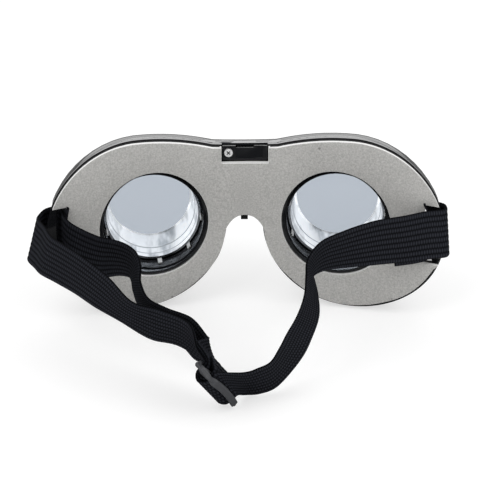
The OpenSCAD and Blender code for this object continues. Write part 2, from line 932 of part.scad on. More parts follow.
// Route of the strap as pairs of points on its two edges. It starts with the
// tail and the sewn loop round the slider's middle bar, then runs to the left
// strap bar, round it and back, through the slider and on to the right bar.
sewn_loop = [
    threaded(9.2, -tail_under - 1.3, 1.2),
    threaded(7.3, -tail_under - 0.75, 0.8),
    threaded(5.5, -tail_under - 0.2, 0.4),
    threaded(3.2, -tail_under + 0.4, 0),
    threaded(1, -loop_under, 0),
    threaded(-1, -loop_under + 0.75, 0),
    threaded(-loop_side, -1.2, 0),
    threaded(-loop_side, 0.8, 0),
    threaded(-loop_side + 0.25, loop_over - 0.85, 0),
    threaded(0, loop_over, 0),
    threaded(loop_side - 0.25, loop_over - 0.85, 0),
    threaded(loop_side, 0.8, 0),
    threaded(loop_side, -0.8, 0),
    threaded(loop_side + 0.65, -main_under - 0.1, 0),
    threaded(4.2, -loop_under + 0.1, 0.1),
    threaded(6.8, -loop_under - 0.4, 0.7),
    threaded(10, -loop_under - 1, 2)];
inner_run = [
    [[-17, -103, -11], [-21, -89, -28]],
    [[-23, -95, -7], [-27, -82, -24]],
    [[-33, -87, -6], [-36, -72, -21]],
    [[-40, -80, -5], [-43, -63, -17]],
    [[-43, -73, -1], [-46, -55, -13]],
    [[-43, -67, 4], [-47, -50, -10]],
    [[-45, -60, 7], [-48, -46, -10]],
    [[-49, -54, 8], [-51, -42, -11]],
    [[-54, -48, 7], [-55, -39, -12]],
    [[-60, -42, 6], [-60, -36, -14]],
    [[-66, -35, 6], [-66, -32, -15]],
    [[-72, -30, 8], [-72, -29, -14]],
    [[-75, -25, 9.5], [-75, -25, -12.5]],
    [[-75.9, -19.3, 10], [-75.9, -18.9, -12]]];
outer_run = [
    [[-78.8, -16.4, 10], [-80.5, -15, -12]],
    [[-82.5, -18.5, 10], [-86, -15.5, -12]],
    [[-84.5, -24, 10], [-89, -20, -11.5]],
    [[-85, -30, 10], [-90, -25, -11]],
    [[-82, -39, 10], [-87, -33, -11]],
    [[-79, -48, 9], [-84, -40, -11]],
    [[-74, -55, 8], [-78, -47, -11]],
    [[-65, -67, 7], [-70, -57, -12]],
    [[-55, -78, 3], [-62, -66, -14]],
    [[-46, -90, -2], [-52, -74, -17]],
    [[-35, -97, -3], [-39, -85, -20]],
    [[-24, -105, -5], [-27, -91, -21]]];
main_thread = [
    threaded(10, -main_under - 0.7, 2),
    threaded(6.6, -main_under - 0.2, 0.5),
    threaded(4.3, -main_under + 0.1, 0),
    threaded(main_side + 0.05, -0.7, 0),
    threaded(main_side, 1, 0),
    threaded(main_side - 0.2, 2.9, 0),
    threaded(main_side - 1.6, main_over - 0.55, 0),
    threaded(0, main_over, 0),
    threaded(1.6 - main_side, main_over - 0.55, 0),
    threaded(0.2 - main_side, 2.9, 0),
    threaded(-main_side, 1, 0),
    threaded(-main_side, -0.8, 0),
    threaded(-main_side - 0.1, -main_under - 0.4, 0)];
right_run = [
    [[-3, -114, -22], [-2, -99, -38.4]],
    [[3, -112, -21], [4, -98, -38.4]],
    [[8, -108, -20], [11, -94, -37]],
    [[12, -101, -17], [20, -86, -29]],
    [[15, -95, -14], [25, -79, -22]],
    [[19, -87, -10], [28, -70, -17]],
    [[22, -78, -5], [28, -59, -13]],
    [[23, -70, 0], [27, -51, -10]],
    [[24, -63, 5], [27, -46, -10]],
    [[30, -54, 9], [32, -41, -10]],
    [[40, -46, 10], [41, -37, -10]],
    [[52, -39, 11], [52, -34, -10]],
    [[64, -33, 11], [64, -30, -11]],
    [[75, -28, 12], [76, -26.5, -10]],
    [[83, -24.5, 12], [85, -23, -10]],
    [[84.5, -19.5, 12], [86.5, -18.5, -10]],
    [[82, -16.5, 11.5], [83, -15.5, -11]],
    [[77.6, -16.4, 11], [77.6, -16.2, -11.5]],
    [[76, -20.5, 11], [76, -20, -12]],
    [[74.8, -25.5, 10.5], [74.8, -24.8, -12.5]],
    [[70, -28.3, 9.5], [70, -26.4, -13]],
    [[62, -31.2, 9], [61.5, -28.2, -13.5]]];
strap_route = concat(sewn_loop, inner_run, outer_run, main_thread, right_run);
strap_steps = 3;
section_count = (len(strap_route) - 1) * strap_steps + 1;

// Smooth curve through four points at share t of the middle span
function smooth(a, b, c, d, t) = 0.5 * ((2 * b) + (c - a) * t
    + (2 * a - 5 * b + 4 * c - d) * t * t + (3 * b - a - 3 * c + d) * t * t * t);
function route_at(i, edge) =
    strap_route[max(0, min(len(strap_route) - 1, i))][edge];
function strap_edge(s, edge) =
    let (i = floor(s / strap_steps), t = s / strap_steps - i)
        smooth(route_at(i - 1, edge), route_at(i, edge),
            route_at(i + 1, edge), route_at(i + 2, edge), t);
function unit(v) = v / norm(v);
function strap_middle(s) = (strap_edge(s, 0) + strap_edge(s, 1)) / 2;
function strap_across(s) = unit(strap_edge(s, 0) - strap_edge(s, 1));
function strap_along(s) = unit(strap_middle(min(section_count - 1, s + 1))
    - strap_middle(max(0, s - 1)));
function strap_normal(s) = unit(cross(strap_along(s), strap_across(s)));

// Four corners of the strap at one section, moved off the middle by a shift
function strap_section(s, width, thickness, shift) =
    let (middle = strap_middle(s) + strap_normal(s) * shift,
        across = strap_across(s) * width / 2,
        off = strap_normal(s) * thickness / 2)
        [middle + across - off, middle + across + off,
            middle - across + off, middle - across - off];

// Ribbon swept between two sections of the strap route
module ribbon(first, last, width, thickness, shift) {
    count = last - first + 1;
    polyhedron(
        points = [
            for (s = [first : last]) each strap_section(s, width, thickness, shift)],
        faces = [
            [0, 1, 2], [0, 2, 3],
            for (s = [0 : count - 2])
                for (i = [0 : 3])
                    let (j = (i + 1) % 4, a = s * 4, b = a + 4)
                        each [[a + i, b + i, b + j], [a + i, b + j, a + j]],
            [count * 4 - 2, count * 4 - 3, count * 4 - 4],
            [count * 4 - 1, count * 4 - 2, count * 4 - 4]],
        convexity = 12);
}

// Elastic head strap, one length of webbing
module strap() {
    color("#1c1e22")
        ribbon(0, section_count - 1, strap_width, strap_thickness, 0);
}

// Rows of stitching that close the loops at the slider and at the right bar
module strap_stitches() {
    end = section_count - 1;
    color("#2c2f34")
        for (start = [1, 4]) {
            ribbon(start, start + 1, strap_width - 3, 0.3,
                -strap_thickness / 2 - 0.35);
            ribbon(end - start - 1, end - start, strap_width - 3, 0.3,
                strap_thickness / 2 + 0.35);
        }
}

// Outline of the slider buckle, with round corners
module slider_outline() {
    round = 2.5;
    square([slider_length - 2 * round, slider_depth], center = true);
    square([slider_length, slider_depth - 2 * round], center = true);
    for (x = [-1, 1], y = [-1, 1]) {
        translate([x * (slider_length / 2 - round), y * (slider_depth / 2 - round)])
            circle(r = round, $fn = 32);
    }
}

// Slider buckle with two slots and a middle bar, its ends bent toward its face
module strap_slider() {
    bow_radius = (pow(slider_length / 2, 2) + pow(slider_bow, 2)) / (2 * slider_bow);
    slot_length = strap_width + 0.8;
    color("#45484d")
        multmatrix([
            [slider_long[0], slider_run[0], slider_face[0], slider_centre[0]],
            [slider_long[1], slider_run[1], slider_face[1], slider_centre[1]],
            [slider_long[2], slider_run[2], slider_face[2], slider_centre[2]],
            [0, 0, 0, 1]])
            difference() {
                intersection() {
                    translate([0, 0, -5])
                        linear_extrude(height = 12)
                            slider_outline();
                    translate([0, 0, bow_radius])
                        rotate([90, 0, 0])
                            tube(bow_radius + slider_thickness / 2,
                                bow_radius - slider_thickness / 2, -20, 20);
                }
                for (side = [-1, 1]) {
                    translate([-slot_length / 2,
                        side * (slider_bar + slider_slot) / 2 - slider_slot / 2, -10])
                        cube([slot_length, slider_slot, 20]);
                }
            }
}

front_shell();
rear_cover();
foam_pad();
left_led_strip();
right_led_strip();
left_leds();
right_leds();
left_cup();
right_cup();
left_reflector();
right_reflector();
left_lens();
right_lens();
left_bezel();
right_bezel();
main_board();
control_chip();
mode_switch();
mode_button();
button_cells();
contact_spring();
contact_plate();
battery_door();
door_screw();
case_screws();
board_screws();
strap();
strap_stitches();
strap_slider();
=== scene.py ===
"""Looks of a pair of light-up party glasses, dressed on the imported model.

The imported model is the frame: its nodes give the places and the sizes. Each
sub-assembly is a class that builds its own meshes and gives them their finish.
"""
import logging
import math
from dataclasses import dataclass, field
from enum import Enum
from typing import Callable, Optional, Sequence

import bmesh
import bpy
from mathutils import Matrix, Vector, noise


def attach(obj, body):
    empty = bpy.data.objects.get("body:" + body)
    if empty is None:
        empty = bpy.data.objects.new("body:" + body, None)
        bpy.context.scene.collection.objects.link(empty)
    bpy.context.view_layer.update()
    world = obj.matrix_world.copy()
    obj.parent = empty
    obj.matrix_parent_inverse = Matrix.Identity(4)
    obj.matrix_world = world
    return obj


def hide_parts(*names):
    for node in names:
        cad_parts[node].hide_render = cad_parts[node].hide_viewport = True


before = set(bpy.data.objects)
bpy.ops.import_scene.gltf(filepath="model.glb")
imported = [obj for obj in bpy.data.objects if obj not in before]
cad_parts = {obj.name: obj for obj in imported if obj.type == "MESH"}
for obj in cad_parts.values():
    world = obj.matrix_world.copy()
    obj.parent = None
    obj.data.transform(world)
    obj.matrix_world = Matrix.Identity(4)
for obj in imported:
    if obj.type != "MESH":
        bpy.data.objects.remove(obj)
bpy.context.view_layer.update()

MM = 0.001
TAU = 2 * math.pi
LOG = logging.getLogger("party_glasses")

BEND_RADIUS = 167.0
EYE_OFFSET = 38.0
EYE_DROP = 0.8

Point = tuple[float, float]
Place = tuple[float, float, float]
Edges = list[tuple[Vector, Vector]]
Input = float | tuple[float, ...] | bpy.types.NodeSocket


def clamped(value: float) -> float:
    """Keeps a value between 0 and 1."""
    return max(0.0, min(1.0, value))


def eased(value: float, low: float, high: float) -> float:
    """Maps low..high to 0..1, clamped and smooth."""
    t = clamped((value - low) / (high - low))
    return t * t * (3 - 2 * t)


def add_object(name: str, data: bpy.types.ID) -> bpy.types.Object:
    """Adds an object to the scene.

    Args:
        name: the object's name.
        data: its mesh, lamp or camera.

    Returns:
        The object.
    """
    made = bpy.data.objects.new(name, data)
    bpy.context.scene.collection.objects.link(made)
    return made


# Node graphs -----------------------------------------------------------------


class Graph:
    """Short calls that add and join the nodes of one node tree."""

    def __init__(self, tree: bpy.types.NodeTree) -> None:
        """Keeps the tree that the calls work on."""
        self.tree = tree

    def add(self, kind: str, inputs: Optional[dict] = None,
            **settings: object) -> bpy.types.Node:
        """Adds a node.

        Args:
            kind: the node's type name without the ShaderNode prefix.
            inputs: input names or numbers, each with a value or an output to join.
            settings: properties of the node.

        Returns:
            The new node.
        """
        name = kind if kind.startswith("Node") else "ShaderNode" + kind
        node = self.tree.nodes.new(name)
        for key, value in settings.items():
            setattr(node, key, value)
        for key, value in (inputs or {}).items():
            self.feed(node.inputs[key], value)
        return node

    def feed(self, target: bpy.types.NodeSocket, value: Input) -> None:
        """Joins an output to an input, or writes a plain value on it.

        Args:
            target: the input.
            value: the output or the plain value.
        """
        if isinstance(value, bpy.types.NodeSocket):
            self.tree.links.new(value, target)
        else:
            target.default_value = value

    def math(self, operation: str, a: Input, b: Input = 0.0,
             clamp: bool = False) -> bpy.types.NodeSocket:
        """Adds a Math node and returns its output."""
        return self.add("Math", {0: a, 1: b}, operation=operation, use_clamp=clamp).outputs[0]

    def ramp(self, value: Input, low: Input, high: Input,
             start: float = 0.0, end: float = 1.0) -> bpy.types.NodeSocket:
        """Maps low..high to start..end, clamped and smooth.

        Args:
            value: the value to map.
            low: the value that gives start.
            high: the value that gives end.
            start: the result at and below low.
            end: the result at and above high.

        Returns:
            The mapped output.
        """
        node = self.add("MapRange", {0: value, 1: low, 2: high, 3: start, 4: end},
                        interpolation_type="SMOOTHSTEP")
        return node.outputs[0]

    def mix(self, share: Input, first: Input, second: Input) -> bpy.types.NodeSocket:
        """Mixes two colours and returns the output."""
        node = self.add("Mix", {0: share, 6: first, 7: second}, data_type="RGBA")
        return node.outputs[2]

    def scaled(self, color: Input, share: Input) -> bpy.types.NodeSocket:
        """Makes a colour lighter or darker by a share and returns the output."""
        return self.add("VectorMath", {0: color, "Scale": share}, operation="SCALE").outputs[0]

    def noise(self, vector: Input, scale: Input, detail: float = 2.0,
              roughness: float = 0.5) -> bpy.types.NodeSocket:
        """Adds a Noise Texture and returns its value."""
        return self.add("TexNoise", {"Vector": vector, "Scale": scale, "Detail": detail,
                                     "Roughness": roughness}).outputs[0]


class GroupName(Enum):
    """The shared effects, each built once."""

    GRAIN = "surface_grain"
    SMUDGE = "smudge_mask"
    SPECKS = "speck_mask"
    WEAVE = "elastic_weave"


class EffectLibrary:
    """Builds the shared node groups once and places them in materials."""

    def __init__(self) -> None:
        """Starts with no group built."""
        self.built: dict[GroupName, bpy.types.NodeTree] = {}

    def place(self, graph: Graph, name: GroupName, inputs: dict) -> bpy.types.Node:
        """Places a shared group in a material.

        Args:
            graph: the material's graph.
            name: the effect.
            inputs: values or outputs for the group's named inputs.

        Returns:
            The group node.
        """
        if name not in self.built:
            maker = {GroupName.GRAIN: self._grain, GroupName.SMUDGE: self._smudge,
                     GroupName.SPECKS: self._specks, GroupName.WEAVE: self._weave}[name]
            self.built[name] = maker(name.value)
        node = graph.add("Group", node_tree=self.built[name])
        for key, value in inputs.items():
            graph.feed(node.inputs[key], value)
        return node

    @staticmethod
    def _shell(name: str, inputs: Sequence[tuple[str, float]],
               outputs: Sequence[str]) -> tuple[Graph, bpy.types.Node, bpy.types.Node]:
        """Makes an empty group with a vector, number inputs and number outputs.

        Args:
            name: the group's name.
            inputs: the name and the first value of each input.
            outputs: the names of the outputs.

        Returns:
            The group's graph, its input node and its output node.
        """
        tree = bpy.data.node_groups.new(name, "ShaderNodeTree")
        tree.interface.new_socket("Vector", in_out="INPUT", socket_type="NodeSocketVector")
        for key, value in inputs:
            socket = tree.interface.new_socket(key, in_out="INPUT",
                                               socket_type="NodeSocketFloat")
            socket.default_value = value
        for key in outputs:
            tree.interface.new_socket(key, in_out="OUTPUT", socket_type="NodeSocketFloat")
        graph = Graph(tree)
        return graph, graph.add("NodeGroupInput"), graph.add("NodeGroupOutput")

    def _grain(self, name: str) -> bpy.types.NodeTree:
        """Fine moulded grain, as a height.

        Args:
            name: the group's name.

        Returns:
            The group.
        """
        graph, source, result = self._shell(name, [("Scale", 900.0), ("Waviness", 0.3)],
                                            ["Height"])
        fine = graph.noise(source.outputs["Vector"], source.outputs["Scale"], 3.0)
        broad = graph.noise(source.outputs["Vector"],
                            graph.math("MULTIPLY", source.outputs["Scale"], 0.04))
        wave = graph.math("MULTIPLY", broad, source.outputs["Waviness"])
        graph.feed(result.inputs["Height"], graph.math("ADD", fine, wave))
        return graph.tree

    def _smudge(self, name: str) -> bpy.types.NodeTree:
        """Soft handling marks, as a roughness between two limits.

        Args:
            name: the group's name.

        Returns:
            The group.
        """
        graph, source, result = self._shell(
            name, [("Scale", 60.0), ("Low", 0.1), ("High", 0.3)], ["Value"])
        cloud = graph.noise(source.outputs["Vector"], source.outputs["Scale"], 4.0, 0.6)
        soft = graph.ramp(cloud, 0.38, 0.68)
        spread = graph.math("SUBTRACT", source.outputs["High"], source.outputs["Low"])
        value = graph.math("ADD", source.outputs["Low"], graph.math("MULTIPLY", soft, spread))
        graph.feed(result.inputs["Value"], value)
        return graph.tree

    def _specks(self, name: str) -> bpy.types.NodeTree:
        """Sparse small specks of dust or pigment, as a mask.

        Args:
            name: the group's name.

        Returns:
            The group.
        """
        graph, source, result = self._shell(
            name, [("Scale", 500.0), ("Size", 0.16), ("Share", 0.3)], ["Mask"])
        cells = graph.add("TexVoronoi", {"Vector": source.outputs["Vector"],
                                         "Scale": source.outputs["Scale"]})
        near = graph.math("LESS_THAN", cells.outputs["Distance"], source.outputs["Size"])
        split = graph.add("SeparateColor", {0: cells.outputs["Color"]})
        chosen = graph.math("LESS_THAN", split.outputs[0], source.outputs["Share"])
        graph.feed(result.inputs["Mask"], graph.math("MULTIPLY", near, chosen))
        return graph.tree

    def _weave(self, name: str) -> bpy.types.NodeTree:
        """Ribbed elastic webbing on a map in metres: a height and a painted shade.

        Args:
            name: the group's name.

        Returns:
            The group.
        """
        graph, source, result = self._shell(
            name, [("Rib", 0.0011), ("Pick", 0.0007), ("Fuzz", 0.25)], ["Height", "PaintedShade"])
        split = graph.add("SeparateXYZ", {0: source.outputs["Vector"]})
        across = graph.math("DIVIDE", split.outputs[0], source.outputs["Rib"])
        along = graph.math("DIVIDE", split.outputs[1], source.outputs["Pick"])
        rib = graph.math("ABSOLUTE", graph.math("SINE", graph.math("MULTIPLY", across, math.pi)))
        step = graph.math("MULTIPLY", graph.math("FLOOR", across), 0.5)
        pick = graph.math("ABSOLUTE", graph.math(
            "SINE", graph.math("MULTIPLY", graph.math("ADD", along, step), math.pi)))
        fibre = graph.noise(source.outputs["Vector"], 2600.0, 3.0, 0.7)
        woven = graph.math("ADD", graph.math("MULTIPLY", rib, 0.62),
                           graph.math("MULTIPLY", pick, 0.38))
        fuzz = graph.math("MULTIPLY", fibre, source.outputs["Fuzz"])
        graph.feed(result.inputs["Height"], graph.math("ADD", woven, fuzz))
        cloud = graph.noise(source.outputs["Vector"], 45.0, 3.0)
        # Painted shade in the grooves between the ribs and painted highlights on the raised
        # picks; the cloud adds random tone.
        raised = graph.math("POWER", pick, 2.0)
        dots = graph.math("ADD", 0.25, graph.math("MULTIPLY", raised, 0.75))
        lit = graph.math("MULTIPLY", graph.math("POWER", rib, 0.8), dots)
        shade = graph.math("ADD", graph.math("MULTIPLY", lit, 2.3),
                           graph.math("MULTIPLY", cloud, 0.3))
        graph.feed(result.inputs["PaintedShade"], shade)
        return graph.tree


EFFECTS = EffectLibrary()


# Finishes --------------------------------------------------------------------


@dataclass(frozen=True)
class Finish:
    """A material that is built once and shared by the pieces of one kind."""

    name: str
    slot: str
    color: tuple[float, float, float]

    def material(self) -> bpy.types.Material:
        """Gives the material, and builds it the first time.

        Returns:
            The material.
        """
        found = bpy.data.materials.get(self.name)
        if found:
            return found
        made = bpy.data.materials.new(self.name)
        made.use_nodes = True
        graph = Graph(made.node_tree)
        shader = made.node_tree.nodes["Principled BSDF"]
        self.build(graph, shader)
        return made

    def build(self, graph: Graph, shader: bpy.types.Node) -> None:
        """Fills the material's graph."""
        shader.inputs["Base Color"].default_value = (*self.color, 1)

    @staticmethod
    def place(graph: Graph) -> bpy.types.NodeSocket:
        """Returns the piece's own coordinates, in metres."""
        return graph.add("TexCoord").outputs["Object"]

    @staticmethod
    def bump(graph: Graph, shader: bpy.types.Node, height: Input, depth: float) -> None:
        """Joins a height to the shader's normal through a bump of the given depth."""
        node = graph.add("Bump", {"Height": height, "Distance": depth, "Strength": 1.0})
        graph.feed(shader.inputs["Normal"], node.outputs["Normal"])


@dataclass(frozen=True)
class Plastic(Finish):
    """Moulded plastic with handling marks, faint dust and a fine grain."""

    gloss: float = 0.12
    dull: float = 0.24
    grain_scale: float = 1400.0
    grain_depth: float = 0.000004
    dust: float = 0.02
    coat: float = 0.0
    shine: float = 0.5

    def build(self, graph: Graph, shader: bpy.types.Node) -> None:
        """Fills the material's graph.

        Args:
            graph: the material's graph.
            shader: its Principled shader.
        """
        vector = self.place(graph)
        smudge = EFFECTS.place(graph, GroupName.SMUDGE, {
            "Vector": vector, "Scale": 55.0, "Low": self.gloss, "High": self.dull})
        specks = EFFECTS.place(graph, GroupName.SPECKS, {
            "Vector": vector, "Scale": 700.0, "Size": 0.12, "Share": 0.12})
        cloud = graph.ramp(graph.noise(vector, 30.0, 3.0), 0.35, 0.75)
        dusty = graph.math("MULTIPLY", graph.math("ADD", specks.outputs["Mask"], cloud),
                           self.dust)
        pale = tuple(min(1.0, c + 0.35) for c in self.color)
        color = graph.mix(dusty, (*self.color, 1), (*pale, 1))
        graph.feed(shader.inputs["Base Color"], color)
        graph.feed(shader.inputs["Roughness"], smudge.outputs["Value"])
        shader.inputs["Specular IOR Level"].default_value = self.shine
        shader.inputs["Coat Weight"].default_value = self.coat
        shader.inputs["Coat Roughness"].default_value = 0.05
        grain = EFFECTS.place(graph, GroupName.GRAIN, {
            "Vector": vector, "Scale": self.grain_scale, "Waviness": 0.6})
        self.bump(graph, shader, grain.outputs["Height"], self.grain_depth)


@dataclass(frozen=True)
class Foam(Finish):
    """Closed-cell foam: fine speckle, a few dark specks and small open cells."""

    speckle: float = 0.22
    dark_specks: float = 0.03
    backing: float = 0.0
    backing_color: tuple[float, ...] = (0.012, 0.012, 0.013, 1)
    door_half: float = 10.5 * MM
    door_step: float = 1.1 * MM
    blur: float = 0.12 * MM

    def layered(self, graph: Graph, vector: Input, color: Input) -> bpy.types.NodeSocket:
        """Darkens the part of a cut edge that is the backing layer.

        Args:
            graph: the material's graph.
            vector: the place on the piece.
            color: the colour of the foam.

        Returns:
            The colour with the backing, which starts a step later beside the door.
        """
        split = graph.add("SeparateXYZ", {0: vector})
        centre = graph.add("CombineXYZ", {1: -BEND_RADIUS * MM})
        across = graph.add("CombineXYZ", {0: split.outputs[0], 1: split.outputs[1]})
        reach = graph.add("VectorMath", {0: across.outputs[0], 1: centre.outputs[0]},
                          operation="DISTANCE").outputs["Value"]
        near_door = graph.math("LESS_THAN", graph.math("ABSOLUTE", split.outputs[0]),
                               self.door_half)
        edge = graph.math("ADD", BEND_RADIUS * MM - self.backing,
                          graph.math("MULTIPLY", near_door, self.door_step))
        mask = graph.ramp(reach, graph.math("SUBTRACT", edge, self.blur),
                          graph.math("ADD", edge, self.blur))
        return graph.mix(mask, color, self.backing_color)

    def build(self, graph: Graph, shader: bpy.types.Node) -> None:
        """Fills the material's graph.

        Args:
            graph: the material's graph.
            shader: its Principled shader.
        """
        vector = self.place(graph)
        fine = graph.noise(vector, 1500.0, 3.0, 0.7)
        broad = graph.noise(vector, 45.0, 2.0)
        speckles = graph.ramp(fine, 0.25, 0.75, 1 - self.speckle, 1 + self.speckle)
        shade = graph.math("ADD", speckles, graph.ramp(broad, 0.3, 0.7, -0.03, 0.03))
        specks = EFFECTS.place(graph, GroupName.SPECKS, {
            "Vector": vector, "Scale": 260.0, "Size": 0.14, "Share": self.dark_specks})
        cover = graph.math("SUBTRACT", 1.0,
                           graph.math("MULTIPLY", specks.outputs["Mask"], 0.45))
        tone = graph.math("MULTIPLY", shade, cover)
        tinted = graph.scaled(self.color, tone)
        if self.backing:
            tinted = self.layered(graph, vector, tinted)
        graph.feed(shader.inputs["Base Color"], tinted)
        shader.inputs["Roughness"].default_value = 0.9
        shader.inputs["Specular IOR Level"].default_value = 0.25
        grain = EFFECTS.place(graph, GroupName.GRAIN, {
            "Vector": vector, "Scale": 1700.0, "Waviness": 1.2})
        self.bump(graph, shader, grain.outputs["Height"], 0.00009)


@dataclass(frozen=True)
class Webbing(Finish):
    """Ribbed elastic webbing that follows the piece's own map."""

    rib: float = 0.002444
    pick: float = 0.00115
    depth: float = 0.00022

    def build(self, graph: Graph, shader: bpy.types.Node) -> None:
        """Fills the material's graph.

        Args:
            graph: the material's graph.
            shader: its Principled shader.
        """
        vector = graph.add("UVMap", uv_map="webbing").outputs["UV"]
        weave = EFFECTS.place(graph, GroupName.WEAVE, {
            "Vector": vector, "Rib": self.rib, "Pick": self.pick, "Fuzz": 0.25})
        # The weave's painted shade darkens the grooves and lightens the raised picks.
        color = graph.scaled(self.color, weave.outputs["PaintedShade"])
        lint = EFFECTS.place(graph, GroupName.SPECKS, {
            "Vector": self.place(graph), "Scale": 420.0, "Size": 0.09, "Share": 0.05})
        faint = graph.math("MULTIPLY", lint.outputs["Mask"], 0.25)
        graph.feed(shader.inputs["Base Color"],
                   graph.mix(faint, color, (0.2, 0.2, 0.21, 1)))
        shader.inputs["Roughness"].default_value = 0.82
        shader.inputs["Sheen Weight"].default_value = 0.004
        shader.inputs["Sheen Roughness"].default_value = 0.5
        shader.inputs["Specular IOR Level"].default_value = 0.02
        self.bump(graph, shader, weave.outputs["Height"], self.depth)


@dataclass(frozen=True)
class Metal(Finish):
    """Plated or turned metal with fine marks."""

    rough: float = 0.22
    marks: float = 0.12
    metallic: float = 1.0

    def build(self, graph: Graph, shader: bpy.types.Node) -> None:
        """Fills the material's graph.

        Args:
            graph: the material's graph.
            shader: its Principled shader.
        """
        vector = self.place(graph)
        smudge = EFFECTS.place(graph, GroupName.SMUDGE, {
            "Vector": vector, "Scale": 220.0, "Low": self.rough, "High": self.rough + self.marks})
        tone = graph.ramp(graph.noise(vector, 900.0, 3.0), 0.3, 0.7, 0.88, 1.04)
        graph.feed(shader.inputs["Base Color"], graph.scaled(self.color, tone))
        graph.feed(shader.inputs["Roughness"], smudge.outputs["Value"])
        shader.inputs["Metallic"].default_value = self.metallic
        grain = EFFECTS.place(graph, GroupName.GRAIN, {
            "Vector": vector, "Scale": 2600.0, "Waviness": 0.4})
        self.bump(graph, shader, grain.outputs["Height"], 0.000006)


@dataclass(frozen=True)
class Clear(Finish):
    """Clear moulded plastic with faint flow waves and a little haze."""

    rough: float = 0.03
    waves: float = 0.00003
    bending: float = 1.15

    def build(self, graph: Graph, shader: bpy.types.Node) -> None:
        """Fills the material's graph.

        Args:
            graph: the material's graph.
            shader: its Principled shader.
        """
        vector = self.place(graph)
        smudge = EFFECTS.place(graph, GroupName.SMUDGE, {
            "Vector": vector, "Scale": 70.0, "Low": self.rough, "High": self.rough + 0.08})
        shader.inputs["Base Color"].default_value = (*self.color, 1)
        graph.feed(shader.inputs["Roughness"], smudge.outputs["Value"])
        shader.inputs["Transmission Weight"].default_value = 1.0
        shader.inputs["IOR"].default_value = self.bending
        wave = graph.noise(vector, 90.0, 2.0)
        self.bump(graph, shader, wave, self.waves)


@dataclass(frozen=True)
class Board(Finish):
    """Solder-masked circuit board with tracks and pads."""

    def build(self, graph: Graph, shader: bpy.types.Node) -> None:
        """Fills the material's graph.

        Args:
            graph: the material's graph.
            shader: its Principled shader.
        """
        vector = self.place(graph)
        tracks = graph.add("TexBrick", {"Vector": vector, "Scale": 260.0, "Mortar Size": 0.02,
                                        "Color1": (0, 0, 0, 1), "Color2": (0.1, 0.1, 0.1, 1),
                                        "Mortar": (1, 1, 1, 1)})
        mask = graph.math("MULTIPLY", tracks.outputs["Color"], 0.6)
        pale = tuple(min(1.0, c * 1.9 + 0.01) for c in self.color)
        graph.feed(shader.inputs["Base Color"], graph.mix(mask, (*self.color, 1), (*pale, 1)))
        smudge = EFFECTS.place(graph, GroupName.SMUDGE, {
            "Vector": vector, "Scale": 90.0, "Low": 0.28, "High": 0.42})
        graph.feed(shader.inputs["Roughness"], smudge.outputs["Value"])
        self.bump(graph, shader, mask, 0.00003)


@dataclass(frozen=True)
class PaintedGlowWall(Plastic):
    """Pale plastic with painted light: glowing streaks, a glow on its sides and darker streaks.
    """

    # Painted light: emission of the bright streaks and of the cup's sides, and its colour.
    painted_streak_glow: float = 0.24
    painted_side_glow: float = 0.34
    light: Place = (0.95, 0.975, 1.0)
    # Painted shade: the darker colour of the streaks in the base colour.
    painted_shade: tuple[float, ...] = (0.44, 0.475, 0.51, 1)
    middle: float = 39.5 * MM

    def build(self, graph: Graph, shader: bpy.types.Node) -> None:
        """Fills the material's graph.

        Args:
            graph: the material's graph.
            shader: its Principled shader.
        """
        super().build(graph, shader)
        drawn = graph.add("VectorMath", {0: self.place(graph), 1: (1.0, 0.22, 1.0)},
                          operation="MULTIPLY")
        cloud = graph.noise(drawn.outputs[0], 120.0, 3.0, 0.55)
        # Painted highlight: bright streaks drawn out along the barrel, given as emission.
        streaks = graph.ramp(cloud, 0.44, 0.58, 0.0, self.painted_streak_glow)
        # Painted shade: the base colour mixed in streaks from the pale colour and a darker copy.
        graph.feed(shader.inputs["Base Color"], graph.mix(
            graph.ramp(cloud, 0.4, 0.6), self.painted_shade, (*self.color, 1)))
        split = graph.add("SeparateXYZ", {0: self.place(graph)})
        aside = graph.math("ABSOLUTE", graph.math(
            "SUBTRACT", graph.math("ABSOLUTE", split.outputs[0]), self.middle))
        # Painted light on the cup's nose and temple sides, away from the line at middle.
        glow = graph.math("ADD", streaks, graph.ramp(aside, 0.006, 0.016, 0.0, self.painted_side_glow))
        # The painted light goes in as emission: the wall glows though no lamp is in it.
        graph.feed(shader.inputs["Emission Color"], graph.scaled(self.light, glow))
        shader.inputs["Emission Strength"].default_value = 1.0


SHELL_GLOSS = Plastic("shell_gloss", "shell_plastic", (0.011, 0.012, 0.014), 0.08, 0.16,
                      dust=0.012, coat=0.4)
COVER_GLOSS = Plastic("cover_gloss", "cover_plastic", (0.008, 0.0085, 0.010), 0.06, 0.15,
                      dust=0.01, coat=0.5)
DOOR_GLOSS = Plastic("door_gloss", "door_plastic", (0.008, 0.0085, 0.010), 0.10, 0.2,
                     dust=0.02, coat=0.15, shine=0.3)
BEZEL_GLOSS = Plastic("bezel_gloss", "bezel_plastic", (0.014, 0.015, 0.018), 0.12, 0.22,
                      dust=0.02)
BUTTON_GLOSS = Plastic("button_gloss", "button_plastic", (0.006, 0.0065, 0.0075), 0.16, 0.28)
SLIDER_SATIN = Plastic("slider_satin", "slider_plastic", (0.058, 0.060, 0.066), 0.36, 0.52,
                       grain_scale=1100.0, grain_depth=0.00003, dust=0.03)
STRIP_DARK = Plastic("strip_dark", "strip", (0.007, 0.0075, 0.009), 0.10, 0.2, dust=0.02,
                     shine=0.16)
# The cup's wall: its pale colour and glow are painted light, standing in for the silver sleeve
# seen through clear plastic.
CUP_WALL = PaintedGlowWall("cup_wall", "clear_cup", (0.86, 0.88, 0.90), 0.08, 0.16, dust=0.0, coat=0.8)
# Painted shade: the cup's ridges, the same plastic as the wall, painted grey.
CUP_RIDGE_PAINTED_SHADE = Plastic("cup_ridge_painted_shade", "clear_cup", (0.62, 0.65, 0.69), 0.08, 0.16, dust=0.0, coat=0.8)
